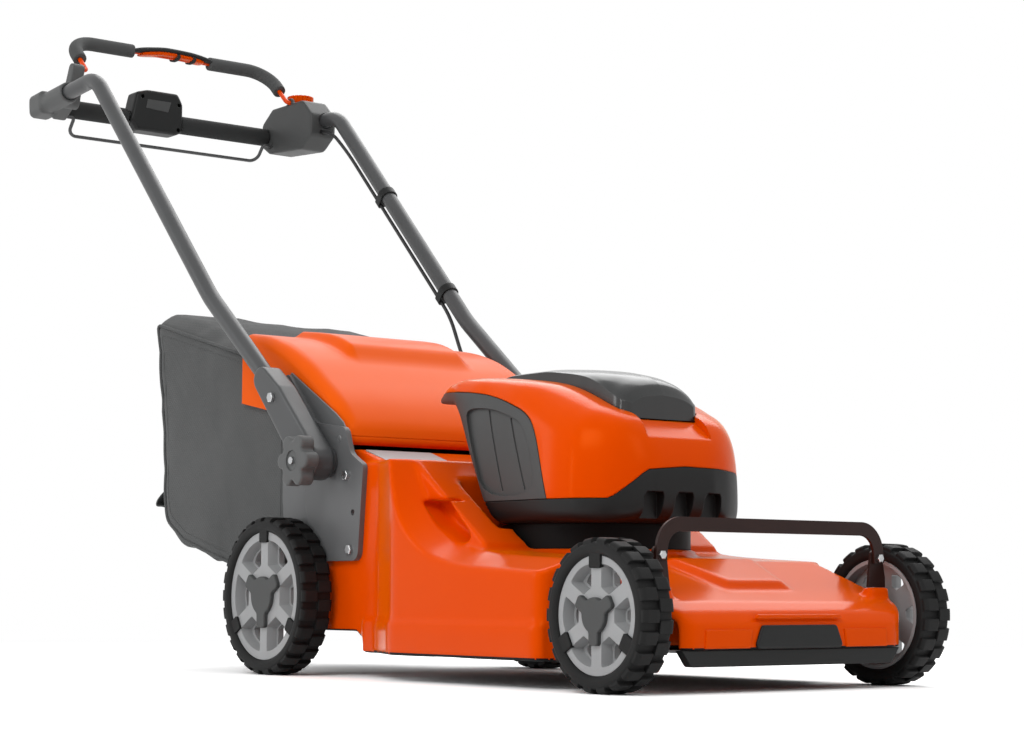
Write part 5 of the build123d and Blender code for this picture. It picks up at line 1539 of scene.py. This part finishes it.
@dataclass
class Controls:
    """The pieces along the handle: paddle, start console, control box, socket, grips, lugs and knobs."""

    bail_x: float = -775.0
    bail_z: float = 1066.0
    steps: int = 48
    # How the bars run out at their ends: least share, sharpness, and shares of thickness and width kept
    end_least: float = 0.06
    end_power: int = 8
    end_thin: float = 0.4
    end_narrow: float = 0.7
    paddle_half: float = 78.0
    paddle_wide: float = 16.0
    paddle_thick: float = 5.0
    insert_half: float = 62.0
    insert_wide: float = 14.0
    insert_thick: float = 4.5
    insert_drop: float = 6.5
    rib_rows: Row = (8.0, 40.0)
    rib_half: float = 3.0
    rib_crisp: float = 40.0
    console_front: float = -765.0
    screw: float = 3.6
    screw_run: Span = (-9.0, 6.0)
    plate_run: Span = (-2.0, 0.6)
    plate_edge: float = 0.6
    dish: float = 14.0
    dish_deep: float = 2.0
    arch: Table = table((-78, 0.5), (-48, 5.5), (-10, 9.5), (30, 8.5), (64, 4.5), (78, 2.0))
    # Shares of the half width and half thickness
    profile: Table = table(
        (-1.0, -0.5), (-1.0, 0.3), (-0.6, 1.0), (0.6, 1.0), (1.0, 0.3), (1.0, -0.5), (0.6, -1.0),
        (-0.6, -1.0),
    )
    rib: Table = table((-15, -6), (15, -6), (16, 7), (-16, 7))
    screws: Table = table((-60, 986), (13, 979), (12, 934))
    plate: Table = table((-50, 982), (-3, 982), (-9, 963), (-53, 966))

    def bar(self, name: str, half: float, wide: float, thick: float, drop: float) -> Piece:
        """An arched bar along the bail.

        Args:
            name: the piece's name.
            half: half its length across the mower.
            wide: half its width.
            thick: half its thickness in the middle.
            drop: how far it lies under the arch.

        Returns:
            The new piece.
        """
        rings = []
        for i in range(self.steps + 1):
            y = half * (2 * i / self.steps - 1)
            end = math.sqrt(max(self.end_least, 1 - (y / half) ** self.end_power))
            z = self.bail_z + value_at(self.arch, y) - drop
            tall = thick * (self.end_thin + (1 - self.end_thin) * end)
            broad = wide * (self.end_narrow + (1 - self.end_narrow) * end)
            corners = [Vector((self.bail_x + u * broad, y, z + v * tall)) for u, v in self.profile]
            rings.append(chaikin(corners, rounds=2, closed=True))
        piece = loft(name, rings)
        shade(piece, SOFT_ANGLE)
        return piece

    def build(self) -> None:
        """Build the paddle, mould the housings and grips, and finish the console and the knobs."""
        self.build_paddle()
        self.build_console()
        rounded_node("control_box", GREY_ABS, voxel_mm=1.8, rounds=10)
        rounded_node("corner_socket", KNOB_NYLON, voxel_mm=1.8, rounds=8)
        for name, side in SIDES.items():
            self.build_knob(side, f"star_knob_{name}")
        rounded_node("handle_lugs", POWDER_GREY, voxel_mm=1.6, rounds=8)
        rounded_node("bar_grips", GRIP_FOAM, voxel_mm=2.0, rounds=6)
        rounded_node("bail_grips", BAIL_FOAM, voxel_mm=1.6, rounds=6)

    def build_paddle(self) -> None:
        """The bail's paddle with its orange insert and two ribs."""
        paddle = self.bar("bail_paddle_shell", self.paddle_half, self.paddle_wide, self.paddle_thick, 0.0)
        stand_for(paddle, GRIP_FOAM, "bail_paddle")
        insert = self.bar(
            "bail_paddle_insert", self.insert_half, self.insert_wide, self.insert_thick, self.insert_drop
        )
        carry(insert, ORANGE_ABS, "bail_paddle")
        outline = [(self.bail_x + x, self.bail_z + z) for x, z in self.rib]
        for number, y in enumerate(self.rib_rows):
            ends = y - self.rib_half, y + self.rib_half
            rib = prism(f"bail_paddle_rib_{number}", outline, *ends, rounds=2)
            shade(rib, self.rib_crisp)
            carry(rib, GRIP_FOAM, "bail_paddle")

    def build_knob(self, side: int, node: str) -> None:
        """A star knob with a shallow dish round its bolt.

        Args:
            side: -1 for the right of the mower, 1 for the left.
            node: the knob's node.
        """
        knob = rounded_node(node, KNOB_NYLON, voxel_mm=1.4, rounds=10)
        low, high = node_box(node)
        middle = (low + high) / 2
        face = high.y if side > 0 else low.y
        outline = circle(middle.x, middle.z, self.dish, step=12)
        cut(knob, prism("dish", outline, face - self.dish_deep, face + self.dish_deep))

    def build_console(self) -> None:
        """The start console with its screw holes and a blank plate."""
        console = rounded_node("start_console", BLACK_ABS, voxel_mm=1.8, rounds=14)
        ends = [self.console_front + end for end in self.screw_run]
        for y, z in self.screws:
            cut(console, prism("screw_hole", circle(y, z, self.screw, step=20), *ends, Facing.FRONT))
        ends = [self.console_front + end for end in self.plate_run]
        plate = prism("console_blank_plate", self.plate, *ends, Facing.FRONT)
        soften(plate, self.plate_edge)
        carry(plate, GREY_ABS, "start_console")


@dataclass
class DeckTrim:
    """The moulded deck and bumper, and small plates and strips on the deck, the tower and the brackets."""

    nose_x: float = 793.0
    nose_back: float = 2.0
    ledge_deep: float = 3.0
    step_deep: float = 1.8
    blade_x: float = 415.0
    chamber: float = 242.0
    chamber_top: float = 134.0
    # Faces that point down below this height get the painted shade
    shade_paint_top: float = 140.0
    tunnel_half: float = 170.0
    # Normals that point down more than the first are an underside, up less than the second a wall
    under_normal: float = -0.4
    wall_normal: float = 0.5
    web_inner: float = 205.6
    web_outer: float = 208.6
    plate_run: Span = (-186.0, -76.0)
    ledge: Table = table((-72, 86), (-68, 91.5), (68, 91.5), (72, 86))
    step: Table = table((-80, 52), (-76, 74), (-150, 74), (-151, 52))
    plate: Table = table((142, 309), (192, 293), (192.4, 295.2), (142.4, 311.4))
    web: Table = table((70, 160), (-6, 172), (-30, 186), (-38, 250), (-36, 296), (60, 300))
    brow: Table = table((125, 340), (60, 345), (0, 385), (-40, 412), (-18, 429), (98, 364), (118, 350))

    def build(self) -> None:
        """Mould the deck and bumper, and add the brackets' webs and brows, nose strips and tower plate."""
        for name, side in SIDES.items():
            ends = sorted((side * self.web_inner, side * self.web_outer))
            for part, outline in (("web", self.web), ("brow", self.brow)):
                web = prism(f"bracket_{part}_{name}", outline, *ends)
                soften(web, width_mm=0.8)
                carry(web, POWDER_MID, "handle_brackets")
        rounded_node("front_bumper", BLACK_ABS, voxel_mm=1.6, rounds=4)
        # The deck's underside gets a black lining as painted shade
        self.paint_underside_shade(rounded_node("deck_shell", ORANGE_ABS, voxel_mm=3.0, rounds=12))
        rear_x = self.nose_x - self.nose_back
        shelf = prism("nose_ledge", self.ledge, rear_x, self.nose_x + self.ledge_deep, Facing.FRONT)
        soften(shelf, width_mm=1.6)
        carry(shelf, ORANGE_ABS, "deck_shell")
        band = prism("nose_step", self.step, rear_x, self.nose_x + self.step_deep, Facing.FRONT)
        mirror_join(band)
        soften(band, width_mm=1.0)
        carry(band, ORANGE_ABS, "deck_shell")
        plate = prism("tower_blank_plate", self.plate, *self.plate_run)
        soften(plate, width_mm=0.4)
        carry(plate, SILVER_NYLON, "deck_shell")

    def paint_underside_shade(self, deck: Piece) -> None:
        """Paint shade on the deck's underside and the blade's chamber: a deep black lining where they sit in
        shade, which also keeps orange light off the floor's shadow.

        Args:
            deck: the moulded deck.
        """
        # The second material is the painted shade
        deck.data.materials.append(BLACK_ABS_PAINTED_SHADE.material())
        for face in deck.data.polygons:
            place = face.center / MM
            away = Vector((place.x - self.blade_x, place.y, 0.0))
            faces_blade = face.normal.x * away.x + face.normal.y * away.y < 0
            in_chamber = away.length < self.chamber and place.z < self.chamber_top
            low_down = place.z < self.shade_paint_top or abs(away.y) < self.tunnel_half
            wall = in_chamber and faces_blade and face.normal.z < self.wall_normal
            if wall or (low_down and face.normal.z < self.under_normal):
                face.material_index = 1


def main() -> None:
    """Build the scene in order and report each piece."""
    logging.basicConfig(level=logging.INFO)
    studio = Studio()
    studio.camera()
    studio.lights()
    studio.floor()
    for node, slot in RECORD_SLOT.items():
        dress(frame["nodes"][node].data, SPECIAL_FINISH.get(node, SLOT_FINISH[slot]))
        LOG.info("dressed %s", node)
    for assembly in (PowerHead(), RearFlap(), GrassBag(), Controls(), DeckTrim()):
        assembly.build()


if __name__ == "__main__":
    main()
